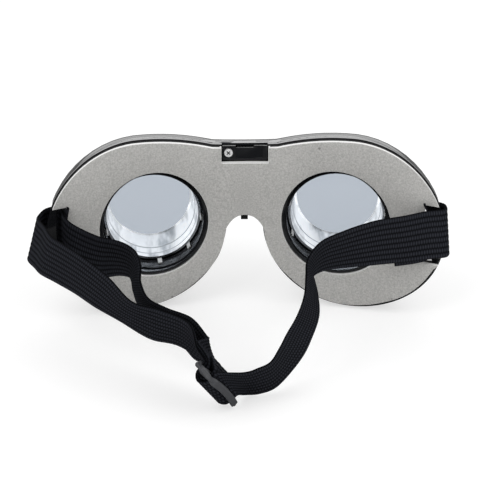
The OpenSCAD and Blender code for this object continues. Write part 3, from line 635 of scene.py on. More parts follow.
# Painted shade: the clear flange tinted almost black, for the shade between the cup and the
# barrel.
CUP_FLANGE_PAINTED_SHADE = Clear("cup_flange_painted_shade", "clear_cup", (0.03, 0.032, 0.036), 0.04)
SWITCH_MATTE = Plastic("switch_matte", "switch_body", (0.03, 0.03, 0.034), 0.4, 0.6)
CHIP_MATTE = Plastic("chip_matte", "chip", (0.015, 0.015, 0.017), 0.45, 0.6)
LED_WHITE = Plastic("led_white", "led", (0.72, 0.73, 0.74), 0.25, 0.4, dust=0.05)
LED_WINDOW = Plastic("led_window", "led", (0.86, 0.87, 0.84), 0.06, 0.12, dust=0.0)
FOAM_FACE = Foam("foam_face", "foam", (0.470, 0.465, 0.450))
# Painted highlight: the same foam as the face, painted paler on its cut edges.
FOAM_CUT_PAINTED_HIGHLIGHT = Foam("foam_cut_painted_highlight", "foam", (0.88, 0.88, 0.87), 0.06, 0.0, backing=0.0043)
WEBBING = Webbing("ribbed_webbing", "webbing", (0.0133, 0.0142, 0.0178))
THREAD = Plastic("sewing_thread", "thread", (0.03, 0.032, 0.038), 0.4, 0.55)
CUP_CLEAR = Clear("cup_clear", "clear_cup", (0.97, 0.98, 0.99))
LENS_TINT = Clear("lens_tint", "lens", (0.453, 0.49, 0.54), 0.05)
SILVER = Metal("silver_sleeve", "silvered", (0.92, 0.93, 0.94), 0.32, 0.12, 0.35)
SCREW_STEEL = Metal("turned_steel", "screw_steel", (0.66, 0.66, 0.67), 0.2)
# Painted glint: a paler, mostly diffuse copy of the screw steel, for the door screw's head.
SCREW_PAINTED_GLINT = Metal("screw_painted_glint", "screw_steel", (0.92, 0.92, 0.93), 0.24, 0.1, 0.25)
CELL_STEEL = Metal("plated_cell", "cell_steel", (0.60, 0.61, 0.63), 0.24)
CONTACT_METAL = Metal("gilt_contact", "contact_metal", (0.62, 0.50, 0.28), 0.26)
BOARD_GREEN = Board("board_green", "board", (0.012, 0.10, 0.045))


# Meshes ----------------------------------------------------------------------


class Workshop:
    """Turns meshes into finished pieces that ride on the frame."""

    @staticmethod
    def piece(name: str, mesh: bmesh.types.BMesh, finishes: Sequence[Finish],
              replaces: Sequence[str] = (), body: str = "mask",
              smooth_degrees: float = 35.0) -> bpy.types.Object:
        """Makes a piece from a mesh and places it on a body.

        Args:
            name: the piece's name.
            mesh: the mesh in metres, in the frame's own axes. It is freed.
            finishes: the finishes, in the order of the faces' material numbers.
            replaces: the nodes that the piece stands for.
            body: the body that it rides on.
            smooth_degrees: edges flatter than this are shaded smooth.

        Returns:
            The finished piece.
        """
        data = bpy.data.meshes.new(name)
        mesh.to_mesh(data)
        mesh.free()
        data.shade_smooth()
        data.set_sharp_from_angle(angle=math.radians(smooth_degrees))
        for finish in finishes:
            data.materials.append(finish.material())
        made = add_object(name, data)
        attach(made, body)
        if replaces:
            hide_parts(*replaces)
        LOG.info("%s: %d faces", name, len(data.polygons))
        return made

    @staticmethod
    def copy_of(node: str) -> bmesh.types.BMesh:
        """Copies a node's mesh, welds it and joins its flat faces.

        Args:
            node: the node's name.

        Returns:
            The mesh.
        """
        mesh = bmesh.new()
        mesh.from_mesh(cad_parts[node].data)
        bmesh.ops.remove_doubles(mesh, verts=mesh.verts, dist=2e-6)
        bmesh.ops.dissolve_limit(mesh, angle_limit=math.radians(0.6),
                                 verts=mesh.verts, edges=mesh.edges)
        return mesh

    @staticmethod
    def soften(mesh: bmesh.types.BMesh, width: float, over_degrees: float = 35.0,
               segments: int = 2) -> None:
        """Rounds the edges that are sharper than an angle.

        Args:
            mesh: the mesh to change.
            width: the width of the rounding, in metres.
            over_degrees: edges that turn by less stay as they are.
            segments: the steps across the rounding.
        """
        sharp = [edge for edge in mesh.edges if len(edge.link_faces) == 2
                 and edge.calc_face_angle(0.0) > math.radians(over_degrees)]
        bmesh.ops.bevel(mesh, geom=sharp, offset=width, offset_type="OFFSET",
                        segments=segments, profile=0.5, affect="EDGES", clamp_overlap=True)

    @classmethod
    def moulded(cls, node: str, finish: Finish, edge: float = 0.0,
                body: str = "mask") -> bpy.types.Object:
        """Makes a piece in a node's shape with its moulded edges rounded.

        Args:
            node: the node that the piece copies and stands for.
            finish: its finish.
            edge: the width of the rounding in metres, or 0 for none.
            body: the body that it rides on.

        Returns:
            The finished piece.
        """
        mesh = cls.copy_of(node)
        if edge:
            cls.soften(mesh, edge)
        return cls.piece(node + "_moulded", mesh, [finish], [node], body)

    @staticmethod
    def dress(node: str, finish: Finish) -> None:
        """Gives a node that keeps its own mesh a finish.

        Args:
            node: the node's name.
            finish: the finish.
        """
        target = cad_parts[node]
        for slot in target.material_slots:
            slot.material = finish.material()
        LOG.info("%s: dressed", node)


def bend_depth(point: Vector) -> float:
    """Returns a frame point's depth from the bent joint face, in millimetres."""
    return math.hypot(point.x / MM, point.y / MM + BEND_RADIUS) - BEND_RADIUS


@dataclass
class Revolve:
    """A closed or solid ring made by turning a profile of (radius, depth) points."""

    profile: Sequence[Point]
    segments: int = 128
    weld: float = 1e-4

    def build(self, placing: Matrix,
              zone: Optional[Callable[[float], int]] = None) -> bmesh.types.BMesh:
        """Builds the mesh by a full spin of the profile.

        Args:
            placing: takes a point of the barrel, in millimetres, to the frame.
            zone: gives the material number at a radius, or None for a single finish.

        Returns:
            The mesh, with its faces outward.
        """
        mesh = bmesh.new()
        verts = [mesh.verts.new((radius, 0, depth)) for radius, depth in self.profile]
        pairs = list(zip(verts, verts[1:]))
        if self.profile[0][0]:
            pairs.append((verts[-1], verts[0]))
        edges = [mesh.edges.new(pair) for pair in pairs]
        bmesh.ops.spin(mesh, geom=verts + edges, cent=(0, 0, 0), axis=(0, 0, 1),
                       dvec=(0, 0, 0), angle=TAU, steps=self.segments, use_merge=True)
        bmesh.ops.remove_doubles(mesh, verts=mesh.verts, dist=self.weld)
        if zone:
            for face in mesh.faces:
                radii = [math.hypot(vert.co.x, vert.co.y) for vert in face.verts]
                face.material_index = zone((min(radii) + max(radii)) / 2)
        bmesh.ops.transform(mesh, matrix=placing, verts=mesh.verts)
        bmesh.ops.recalc_face_normals(mesh, faces=mesh.faces)
        return mesh


def rounded(profile: Sequence[Point], corners: dict[int, float], steps: int = 4) -> list[Point]:
    """Rounds chosen corners of a closed profile.

    Args:
        profile: the corner points.
        corners: the radius for each corner number that is rounded.
        steps: the points on each rounding.

    Returns:
        The profile with arcs in place of the chosen corners.
    """
    result: list[Point] = []
    count = len(profile)
    for i, corner in enumerate(profile):
        radius = corners.get(i, 0.0)
        if not radius:
            result.append(corner)
            continue
        here = Vector(corner)
        before = (Vector(profile[i - 1]) - here)
        after = (Vector(profile[(i + 1) % count]) - here)
        half = before.angle(after) / 2
        reach = min(radius / math.tan(half), before.length * 0.45, after.length * 0.45)
        start = here + before.normalized() * reach
        end = here + after.normalized() * reach
        for k in range(steps + 1):
            t = k / steps
            bend = start * (1 - t) ** 2 + here * (2 * t * (1 - t)) + end * t ** 2
            result.append((bend.x, bend.y))
    return result


# Sub-assemblies --------------------------------------------------------------


@dataclass
class Mask:
    """The bent shell, its cover and the foam pad."""

    eyepieces: Sequence["Eyepiece"]
    cover_edge: float = 0.3 * MM
    foam_edge: float = 0.3 * MM
    collar_middle: float = 22.05
    collar_half: float = 0.9
    collar_foot: float = -2.2
    collar_low: float = 0.12
    arch_half: float = 9.0
    arch_rise: float = 1.2
    arch_band: Point = (-6, 3)
    rim_radius: float = 30.0
    rim_drop: Point = (12.5, 16)
    rim_back: Sequence[Point] = ((5, 0.0), (12, 1.2), (25, 2.0), (45, 2.1), (60, 2.4), (75, 1.9),
                                 (90, 1.4), (120, 1.3), (131, 1.0), (140, 0.5), (150, 0.0))

    def build(self) -> None:
        """Builds the pieces of the mask."""
        Workshop.moulded("front_shell", SHELL_GLOSS)
        self.cover()
        self.foam()
        Workshop.dress("case_screws", SCREW_STEEL)

    def cover(self) -> bpy.types.Object:
        """Builds the cover, with collars that run low over the top of each eye.

        Returns:
            The finished piece.
        """
        mesh = Workshop.copy_of("rear_cover")
        for eyepiece in self.eyepieces:
            to_barrel = eyepiece.placing.inverted()
            for vert in mesh.verts:
                place = to_barrel @ vert.co
                height = self.collar_foot - bend_depth(vert.co)
                radius = math.hypot(place.x, place.y)
                if abs(radius - self.collar_middle) > self.collar_half or height < 0:
                    continue
                sunk = height * (1 - self.collar_low) * eased(-place.y / radius, 0.0, 0.65)
                vert.co += eyepiece.forward() * sunk * MM
        Workshop.soften(mesh, self.cover_edge, 50)
        return Workshop.piece("rear_cover_moulded", mesh, [COVER_GLOSS], ["rear_cover"])

    def foam(self) -> bpy.types.Object:
        """Builds the foam pad: a grey face and a cut edge painted pale as a highlight, on a dark
        backing.

        Returns:
            The finished piece.
        """
        mesh = Workshop.copy_of("foam_pad")
        flat = {face: self.is_face(face) for face in mesh.faces}
        # Cut edges take the pale painted highlight finish.
        for face, lies in flat.items():
            face.material_index = 0 if lies else 1
        low, high = self.arch_band
        for vert in mesh.verts:
            x, z = vert.co.x / MM, vert.co.z / MM
            if abs(x) < self.arch_half and low < z < high:
                rise = self.arch_rise * (1 - (x / self.arch_half) ** 2)
                vert.co.z += rise * eased(z, low, 0) * MM
            outward, upward = abs(x) - EYE_OFFSET, z + EYE_DROP
            if math.hypot(outward, upward) > self.rim_radius and z < 0:
                turn = -math.degrees(math.atan2(upward, outward))
                back = self.bare_rim(turn) * eased(-z, *self.rim_drop) * MM
                radial = Vector((outward * math.copysign(1, x), 0, upward))
                vert.co -= radial.normalized() * back
        rim = [edge for edge in mesh.edges if len(edge.link_faces) == 2
               and flat[edge.link_faces[0]] != flat[edge.link_faces[1]]]
        # The rounded rim takes the cut edge's finish: a thin painted highlight line.
        bmesh.ops.bevel(mesh, geom=rim, offset=self.foam_edge, offset_type="OFFSET",
                        segments=3, profile=0.5, affect="EDGES", clamp_overlap=True,
                        material=1)
        made = Workshop.piece("foam_cushion", mesh, [FOAM_FACE, FOAM_CUT_PAINTED_HIGHLIGHT], ["foam_pad"])
        return made

    def bare_rim(self, turn: float) -> float:
        """Gives how far the foam stays inside the cover.

        Args:
            turn: degrees round the lobe, from straight outward toward the bottom.

        Returns:
            The distance from the cover's edge, in millimetres.
        """
        for (start, near), (end, far) in zip(self.rim_back, self.rim_back[1:]):
            if start <= turn <= end:
                return near + (far - near) * (turn - start) / (end - start)
        return 0.0

    @staticmethod
    def is_face(face: bmesh.types.BMFace) -> bool:
        """Returns whether a face lies along the bend, and isn't a cut edge."""
        return abs(face.normal.z) < 0.2 and abs(face.normal.y) > 0.75 \
            and face.calc_area() > 0.02 * MM * MM


@dataclass
class Eyepiece:
    """One barrel with its light strip, lights, clear cup, sleeve, lens and bezel."""

    side: int
    name: str
    first_turn: float
    toe_out: float = math.radians(4)
    pad_depth: float = 6.0
    bore: float = 21.4
    strip_start: float = 3.6
    strip_thickness: float = 0.6
    cup_start: float = 12.2
    cup_rim: float = 19.4
    cup_end_radius: float = 17.9
    cup_end: float = 35.4
    cup_wall: float = 1.0
    cup_floor: float = 1.2
    lens_thickness: float = 1.6
    barrel_length: float = 38.0
    bezel_radius: float = 24.0
    bezel_window: float = 19.4
    light_count: int = 9
    light_size: Place = (2.3, 4.9, 0.7)
    light_bands: Sequence[tuple[float, int]] = ((0.03, 0), (0.27, 1), (0.51, 0), (0.77, 0))
    light_band: float = 0.16
    tail_box: Sequence[Place] = ((12, 1.6, 5.6), (17.2, 2.18, 11))
    glue_gap: float = 0.02
    seat_gap: float = 0.05
    side_gap: float = 0.1
    light_edge: float = 0.08
    ridge_zones: Sequence[Point] = ((18.56, 18.84), (19.08, 19.28))

    @property
    def eye_y(self) -> float:
        """Depth of the eye centre on the back of the foam, in millimetres."""
        return math.sqrt((BEND_RADIUS - self.pad_depth) ** 2 - EYE_OFFSET ** 2) - BEND_RADIUS

    @property
    def lens_start(self) -> float:
        """Depth where the lens starts, just past the cup."""
        return self.cup_end + self.seat_gap

    @property
    def placing(self) -> Matrix:
        """The way from a place in the barrel, in millimetres, to the frame in metres.

        Returns:
            The matrix, which mirrors for the left eye.
        """
        cos, sin = math.cos(self.toe_out), math.sin(self.toe_out)
        return Matrix.Scale(MM, 4) @ Matrix((
            (self.side * cos, 0, self.side * sin, self.side * EYE_OFFSET),
            (-sin, 0, cos, self.eye_y), (0, -1, 0, -EYE_DROP), (0, 0, 0, 1)))

    def forward(self) -> Vector:
        """Returns the direction along the barrel, away from the wearer."""
        return Vector((self.side * math.sin(self.toe_out), math.cos(self.toe_out), 0))

    def build(self) -> None:
        """Builds the pieces of the barrel."""
        self.strip()
        self.lights()
        self.cup()
        self.sleeve()
        self.lens()
        self.bezel()

    def ring(self, part: str, profile: Sequence[Point], finishes: Sequence[Finish],
             replaces: str, zone: Optional[Callable[[float], int]] = None) -> bpy.types.Object:
        """Builds one turned piece of the barrel.

        Args:
            part: the end of the piece's name.
            profile: its section, as radius and depth.
            finishes: its finishes.
            replaces: the node that it stands for.
            zone: gives the material number at a radius.

        Returns:
            The finished piece.
        """
        mesh = Revolve(profile).build(self.placing, zone)
        return Workshop.piece(f"{self.name}_{part}", mesh, finishes, [replaces],
                              smooth_degrees=28)

    def strip(self) -> None:
        """Builds the flexible light strip with its tail to the board."""
        outer = self.bore - self.glue_gap
        inner = outer - self.strip_thickness
        start, end = self.strip_start, self.cup_start - 0.1
        profile = rounded([(outer, start), (outer, end), (inner, end), (inner, start)],
                          {0: 0.1, 1: 0.1, 2: 0.15, 3: 0.15})
        mesh = Revolve(profile).build(self.placing)
        low, high = Vector(self.tail_box[0]), Vector(self.tail_box[1])
        low.x, high.x = sorted((self.side * low.x, self.side * high.x))
        bmesh.ops.create_cube(mesh, size=1.0, matrix=Matrix.Scale(MM, 4)
                              @ Matrix.Translation((low + high) / 2)
                              @ Matrix.Diagonal((*(high - low), 1)))
        Workshop.piece(f"{self.name}_flex_strip", mesh, [STRIP_DARK],
                       [f"{self.name}_led_strip"])

    def lights(self) -> None:
        """Builds the lights: a white body with two dark pads and a clear window."""
        width, length, height = self.light_size
        inner = self.bore - self.glue_gap - self.strip_thickness
        seat = math.sqrt(inner ** 2 - (width / 2) ** 2) - self.glue_gap
        end = self.cup_start - 0.15
        mesh = bmesh.new()
        for i in range(self.light_count):
            angle = math.radians(90 + self.first_turn) + TAU * i / self.light_count
            self.block(mesh, angle, (seat - height * 0.6, seat), width * 0.62,
                       (end - length, end), 2)
            for start, number in self.light_bands:
                self.block(mesh, angle, (seat - height, seat - height * 0.55), width * 0.78,
                           (end - length * (start + self.light_band), end - length * start),
                           number)
        bmesh.ops.recalc_face_normals(mesh, faces=mesh.faces)
        Workshop.soften(mesh, self.light_edge * MM, 60, 1)
        Workshop.piece(f"{self.name}_lights", mesh, [LED_WHITE, LED_WINDOW, STRIP_DARK],
                       [f"{self.name}_leds"])

    def block(self, mesh: bmesh.types.BMesh, angle: float, radii: Point, width: float,
              depths: Point, material: int) -> None:
        """Adds a small block that sits on the strip.

        Args:
            mesh: the mesh to add to.
            angle: the block's place round the barrel.
            radii: its inner and outer radius.
            width: its width along the strip.
            depths: the depths where it starts and ends.
            material: its material number.
        """
        size = Matrix.Diagonal((radii[1] - radii[0], width, depths[1] - depths[0], 1))
        middle = Matrix.Translation((sum(radii) / 2, 0, sum(depths) / 2))
        turn = Matrix.Rotation(angle, 4, "Z")
        made = bmesh.ops.create_cube(mesh, size=1.0,
                                     matrix=self.placing @ turn @ middle @ size)
        for face in {face for vert in made["verts"] for face in vert.link_faces}:
            face.material_index = material

    def cup(self) -> None:
        """Builds the clear cup with its rim flange and two ridges."""
        middle = self.cup_rim - 0.55
        profile = [
            (0, self.cup_end - self.cup_floor),
            (self.cup_end_radius - 0.45, self.cup_end - self.cup_floor),
            (self.cup_end_radius, self.cup_end - self.cup_floor - 0.1),
            (middle - 0.3, self.cup_start + 9.2),
            (middle, self.cup_start + 8.8),
            (middle + 0.2, self.cup_start + 4),
            (self.cup_rim - 0.1, self.cup_start + 3.5),
            (self.cup_rim, self.cup_start),
            (self.bore - 0.15, self.cup_start),
            (self.bore - 0.15, self.cup_start + 1),
            (self.cup_rim + self.cup_wall, self.cup_start + 1),
            (self.cup_end_radius + self.cup_wall, self.cup_end),
            (0, self.cup_end)]
        # The wall takes painted light; the flange and the ridges take painted shade.
        self.ring("clear_cup", rounded(profile, {3: 0.25, 4: 0.25, 5: 0.25, 6: 0.25, 7: 0.4,
                                                 11: 0.4}),
                  [CUP_CLEAR, CUP_WALL, CUP_FLANGE_PAINTED_SHADE, CUP_RIDGE_PAINTED_SHADE], f"{self.name}_cup",
                  self.cup_zone)

    def cup_zone(self, radius: float) -> int:
        """Gives the cup's finish at a radius.

        Args:
            radius: distance from the barrel's middle, in millimetres.

        Returns:
            The material number: 0 floor, 1 wall with painted light, 2 flange and 3 ridge with
                painted shade.
        """
        if radius > self.cup_rim - 0.05:
            return 2
        if any(low < radius < high for low, high in self.ridge_zones):
            return 3
        return int(radius > self.cup_end_radius - 0.5)

    def sleeve(self) -> None:
        """Builds the silver sleeve behind the cup."""
        outer, foot = self.bore - self.side_gap, self.cup_start + 1 + self.seat_gap
        cup_end_outside = self.cup_end_radius + self.cup_wall
        profile = [
            (self.cup_rim + self.cup_wall + self.side_gap, foot),
            (outer, foot),
            (outer, self.cup_start + 2),
            (cup_end_outside + 0.6, self.lens_start - 0.4),
            (outer, self.lens_start - 0.4),
            (outer, self.lens_start - self.seat_gap),
            (cup_end_outside + self.side_gap, self.lens_start - self.seat_gap)]
        self.ring("sleeve", profile, [SILVER], f"{self.name}_reflector")

    def lens(self) -> None:
        """Builds the tinted lens with a bevelled edge."""
        start = self.lens_start
        end = start + self.lens_thickness
        radius = self.bore - 2 * self.side_gap
        profile = rounded([(0, start), (radius, start), (radius, end), (0, end)],
                          {1: 0.2, 2: 0.2}, 2)
        self.ring("tinted_lens", profile, [LENS_TINT], f"{self.name}_lens")

    def bezel(self) -> None:
        """Builds the ring that clips the lens in, with a rounded nose."""
        start = self.lens_start + self.lens_thickness + self.seat_gap
        front, outer = self.barrel_length, self.bore - self.side_gap
        profile = [
            (self.bezel_window, start),
            (outer, start),
            (outer, front + self.seat_gap),
            (self.bezel_radius, front + self.seat_gap),
            (self.bezel_radius, front + 1.2),
            (self.bezel_radius - 0.8, front + 2.2),
            (self.bezel_window + 1.4, front + 2.2),
            (self.bezel_window, front + 0.8)]
        self.ring("front_bezel", rounded(profile, {3: 0.2, 4: 0.6, 5: 0.6, 6: 0.6, 7: 0.4}),
                  [BEZEL_GLOSS], f"{self.name}_bezel")


@dataclass
class Bridge:
    """The battery bay, its door, the board and the button."""

    edge: float = 0.2 * MM
    button_cap: float = 0.85 * MM
    screw_place: Point = (-6.8, 28.2)
    screw_recess: float = 1.1
    recess_depths: Point = (0.05, 0.6)

    def build(self) -> None:
        """Builds the pieces of the bridge."""
        Workshop.moulded("battery_door", DOOR_GLOSS, self.edge, "battery_door")
        self.door_screw()
        self.button()
        Workshop.dress("main_board", BOARD_GREEN)
        Workshop.dress("control_chip", CHIP_MATTE)
        Workshop.dress("mode_switch", SWITCH_MATTE)
        Workshop.dress("button_cells", CELL_STEEL)
        Workshop.dress("contact_spring", CONTACT_METAL)
        Workshop.dress("contact_plate", CONTACT_METAL)
        Workshop.dress("board_screws", SCREW_STEEL)

    def door_screw(self) -> bpy.types.Object:
        """Builds the door's screw: its head a paler painted glint, its cross recess black as
        painted shade.

        Returns:
            The finished piece.
        """
        mesh = Workshop.copy_of("door_screw")
        head = min(vert.co.y for vert in mesh.verts)
        low, high = self.recess_depths
        for face in mesh.faces:
            middle = face.calc_center_median()
            reach = math.hypot(middle.x / MM - self.screw_place[0],
                               middle.z / MM - self.screw_place[1])
            sunk = low < (middle.y - head) / MM < high
            # Painted shade: faces in the cross recess take the black cover finish.
            face.material_index = int(sunk and reach < self.screw_recess)
        return Workshop.piece("door_screw_moulded", mesh, [SCREW_PAINTED_GLINT, COVER_GLOSS],
                              ["door_screw"], "battery_door")

    def button(self) -> bpy.types.Object:
        """Builds the mode button with a slightly longer cap.

        Returns:
            The finished piece.
        """
        mesh = Workshop.copy_of("mode_button")
        for vert in mesh.verts:
            if vert.co.z < -1 * MM:
                vert.co.z -= self.button_cap
        Workshop.soften(mesh, 0.2 * MM)
        return Workshop.piece("mode_button_moulded", mesh, [BUTTON_GLOSS], ["mode_button"],
                              "mode_button")


@dataclass(frozen=True)
class Buckle:
    """The slider's place and the strands of webbing that run through it."""

    centre: Place = (-12.9, -113.2, -26.5)
    long_way: Place = (-0.388, -0.589, 0.708)
    lean: Place = (-0.514, 0.777, 0.364)
    depth: float = 13.0
    thickness: float = 3.0
    bow: float = 1.2
    half_length: float = 13.5
    round_end: float = 2.4
    corner_start: float = 8.5
    corner_reach: float = 2.5
    corner_share: float = 0.38
    least_thickness: float = 0.35
    narrowing: float = 0.12
    strap_width: float = 22.0
    strap_thickness: float = 1.2

    @property
    def loop_side(self) -> float:
        """Distance of the sewn loop from the slider's middle line."""
        bar = (self.depth - 2 * (2 * self.strap_thickness + 0.9)) / 3
        return bar / 2 + 0.08 + self.strap_thickness / 2

    @property
    def main_under(self) -> float:
        """Distance off the slider of the main run where it passes under it."""
        return self.thickness / 2 + 0.1 + self.strap_thickness / 2

    @property
    def loop_over(self) -> float:
        """Height of the sewn loop where it crosses the middle bar."""
        return self.thickness / 2 + self.bow + self.strap_thickness / 2 - 0.15

    def directions(self) -> tuple[Vector, Vector, Vector]:
        """Works out the slider's own directions.

        Returns:
            The slider's long axis, the way the strap runs, and the way its face points.
        """
        long_way = Vector(self.long_way).normalized()
        run = long_way.cross(Vector(self.lean)).cross(long_way).normalized()
        return long_way, run, long_way.cross(run)

    def worn(self, point: Vector) -> Vector:
        """Rounds and narrows the slider's ends.

        Args:
            point: a point of the slider's mesh, in metres.

        Returns:
            The point of the rounded shape.
        """
        long_way, run, face = self.directions()
        place = point / MM - Vector(self.centre)
        along, across, off = place.dot(long_way), place.dot(run), place.dot(face)
        bow_radius = (self.half_length ** 2 + self.bow ** 2) / (2 * self.bow)
        middle = bow_radius - math.sqrt(bow_radius ** 2 - along ** 2)
        corner = clamped((abs(along) - self.corner_start) / self.corner_reach)
        reach = abs(along) + self.corner_share * abs(across) * corner
        end = clamped((reach - self.half_length) / self.round_end + 1)
        thin = self.least_thickness + (1 - self.least_thickness) * math.sqrt(1 - end ** 2)
        narrow = 1 - self.narrowing * end ** 2
        off = middle + (off - middle) * thin
        return (Vector(self.centre) + long_way * along + run * across * narrow
                + face * off) * MM

    def edges(self, spots: Sequence[Place]) -> Edges:
        """Turns places in the slider's own directions into the strap's edge points.

        Args:
            spots: distances along the run, off the face and along the slider.

        Returns:
            The two edge points of the strap at each place.
        """
        long_way, run, face = self.directions()
        half = long_way * self.strap_width / 2
        result = []
        for along, off, shift in spots:
            middle = Vector(self.centre) + run * along + face * off + long_way * shift
            result.append((middle + half, middle - half))
        return result

    def sewn_loop(self) -> Edges:
        """Lays the tail and the loop sewn round the middle bar.

        Returns:
            The two edge points of the strap at each place.
        """
        side, under, over = self.loop_side, self.main_under, self.loop_over
        loop = under + self.strap_thickness + 0.1
        tail = loop + self.strap_thickness + 0.1
        return self.edges([
            (3.9, -tail + 0.1, 0.2), (2.4, -tail + 0.5, 0), (1, -loop, 0), (-1, -loop + 0.75, 0),
            (-side, -1.2, 0), (-side, 0.8, 0), (-side + 0.25, over - 0.85, 0),
            (0, over, 0), (side - 0.25, over - 0.85, 0), (side, 0.8, 0),
            (side, -0.8, 0), (side + 0.65, -under - 0.1, 0.2), (4.2, -loop + 0.1, 1),
            (6.8, -loop - 0.4, 2.8), (10, -loop - 1, 5)])

    def main_thread(self) -> Edges:
        """Lays the main run, up through one slot and down through the other.

        Returns:
            The two edge points of the strap at each place.
        """
        side = self.loop_side + self.strap_thickness + 0.35
        under = self.main_under
        over = self.loop_over + self.strap_thickness + 0.5
        return self.edges([
            (10, -under - 0.7, 2), (6.6, -under - 0.2, 0.5), (4.3, -under + 0.1, 0),
            (side + 0.05, -0.7, 0), (side, 1, 0), (side - 0.2, 2.9, 0),
            (side - 1.6, over - 0.55, 0), (0, over, 0), (1.6 - side, over - 0.55, 0),
            (0.2 - side, 2.9, 0), (-side, 1, 0), (-side, -0.8, 0),
            (-side - 0.1, -under - 0.4, 0)])


@dataclass
class HeadStrap:
    """The elastic strap, its stitching and the slider."""

    width: float = 22.0
    thickness: float = 1.2
    rib_count: int = 9
    rib_height: float = 0.16
    steps: int = 8
    curl: float = 0.25
    ripple: float = 0.12
    hem: float = 0.6
    held_stations: int = 6
    bar_station: int = 15
    ease_stations: int = 3
    stitch_count: int = 13
    stitch_margin: float = 4.0
    stitch_radius: float = 0.19
    stitch_stretch: float = 4.2
    stitch_slant: float = 0.35
    buckle: Buckle = field(default_factory=Buckle)
    left_run: Sequence[Sequence[Place]] = (
        ((-16.8, -108.4, -9.9), (-14.5, -95, -26.2)),
        ((-17, -103, -11), (-21, -89, -28)),
        ((-23, -95, -7), (-27, -82, -24)),
        ((-33, -87, -6), (-36, -72, -21)),
        ((-40, -80, -5), (-43, -63, -17)),
        ((-43, -73, -1), (-46, -55, -13)),
        ((-43, -67, 4), (-47, -50, -10)),
        ((-45, -60, 7), (-48, -46, -10)),
        ((-49, -54, 8), (-51, -42, -11)),
        ((-54, -48, 7), (-55, -39, -12)),
        ((-60, -42, 6), (-60, -36, -14)),
        ((-66, -35, 6), (-66, -32, -15)),
        ((-72, -30, 8), (-72, -29, -14)),
        ((-75, -25, 9.5), (-75, -25, -12.5)),
        ((-75.9, -19.3, 10), (-75.9, -18.9, -12)),
        ((-78.8, -16.4, 10), (-80.5, -15, -12)),
        ((-82.5, -18.5, 10), (-86, -15.5, -12)),
        ((-84.5, -24, 10), (-89, -20, -11.5)),
        ((-85, -30, 10), (-90, -25, -11)),
        ((-82, -39, 10), (-87, -33, -11)),
        ((-79, -48, 9), (-84, -40, -11)),
        ((-74, -55, 8), (-78, -47, -11)),
        ((-65, -67, 7), (-70, -57, -12)),
        ((-55, -78, 3), (-62, -66, -14)),
        ((-46, -90, -2), (-52, -74, -17)),
        ((-35, -97, -3), (-39, -85, -20)),
        ((-24, -105, -5), (-27, -91, -21)))
    right_run: Sequence[Sequence[Place]] = (
        ((-3, -114, -22), (-2, -99, -38.4)),
        ((3, -112, -21), (4, -98, -38.4)),
        ((8, -108, -20), (11, -94, -37)),
        ((12, -101, -17), (20, -86, -29)),
        ((15, -95, -14), (25, -79, -22)),
        ((19, -87, -10), (28, -70, -17)),
        ((22, -78, -5), (28, -59, -13)),
        ((23, -70, 0), (27, -51, -10)),
        ((24, -63, 5), (27, -46, -10)),
        ((30, -54, 9), (32, -41, -10)),
        ((40, -46, 10), (41, -37, -10)),
        ((52, -39, 11), (52, -34, -10)),
        ((64, -33, 11), (64, -30, -11)),
        ((74, -28.2, 11.2), (75.5, -26.8, -10.8)),
        ((81.4, -24.8, 10.7), (83.2, -23.4, -11.3)),
        ((82.7, -20, 10.7), (84.2, -19, -11.3)),
        ((80.8, -17, 10.7), (82, -16, -11.3)),
        ((77.6, -16.4, 11), (77.6, -16.2, -11.5)),
        ((76, -20.5, 11), (76, -20, -12)),
        ((74.8, -25.5, 10.5), (74.8, -24.8, -12.5)),
        ((70, -28.3, 9.5), (70, -26.4, -13)),
        ((62, -31.2, 9), (61.5, -28.2, -13.5)))
    turned_corners: Sequence[Sequence[Place]] = (
        ((-73.6, -27.6, 7.4), (-75.4, -22.5, 8.6), (-76.1, -19.0, 9.6), (-75.2, -21.0, 11.6),
         (-72.6, -25.7, 12.7)),
        ((74.6, -26.0, 9.6), (76.0, -20.5, 10.2), (77.6, -17.0, 10.8), (76.8, -19.0, 12.0),
         (73.0, -25.8, 13.1)))
    corner_half: float = 0.45
    route: Edges = field(init=False)

    def __post_init__(self) -> None:
        """Joins the strands into one route from the tail to the right bar."""
        self.route = (self.buckle.sewn_loop() + self.edges(self.left_run)
                      + self.buckle.main_thread() + self.edges(self.right_run))

    @staticmethod
    def edges(run: Sequence[Sequence[Place]]) -> Edges:
        """Returns a run's edge points as vectors."""
        return [(Vector(first), Vector(second)) for first, second in run]

    def freedom(self, place: float) -> float:
        """Gives how freely the webbing ripples.

        Args:
            place: the place along the route, counted in stations.

        Returns:
            0 where the webbing is held, rising to 1 where it lies free.
        """
        loop_end = len(self.buckle.sewn_loop())
        thread = loop_end + len(self.left_run)
        thread_end = thread + len(self.buckle.main_thread())
        last = len(self.route) - 1
        gaps = [place - loop_end, min(abs(place - thread), abs(place - thread_end)),
                last - self.held_stations - place,
                abs(place - loop_end - self.bar_station) - 2]
        if thread < place < thread_end:
            return 0.0
        return clamped(min(gaps) / self.ease_stations)

    def edge_point(self, place: float, edge: int) -> Vector:
        """Gives the point of one edge of the strap.

        Args:
            place: the place along the route, counted in stations.
            edge: 0 or 1, the edge of the strap.

        Returns:
            The point, on a smooth curve through the stations.
        """
        last = len(self.route) - 1
        index = min(int(place), last - 1)
        t = place - index
        a, b, c, d = (self.route[max(0, min(last, index + k))][edge] for k in (-1, 0, 1, 2))
        return 0.5 * ((2 * b) + (c - a) * t + (2 * a - 5 * b + 4 * c - d) * t * t
                      + (3 * b - a - 3 * c + d) * t ** 3)

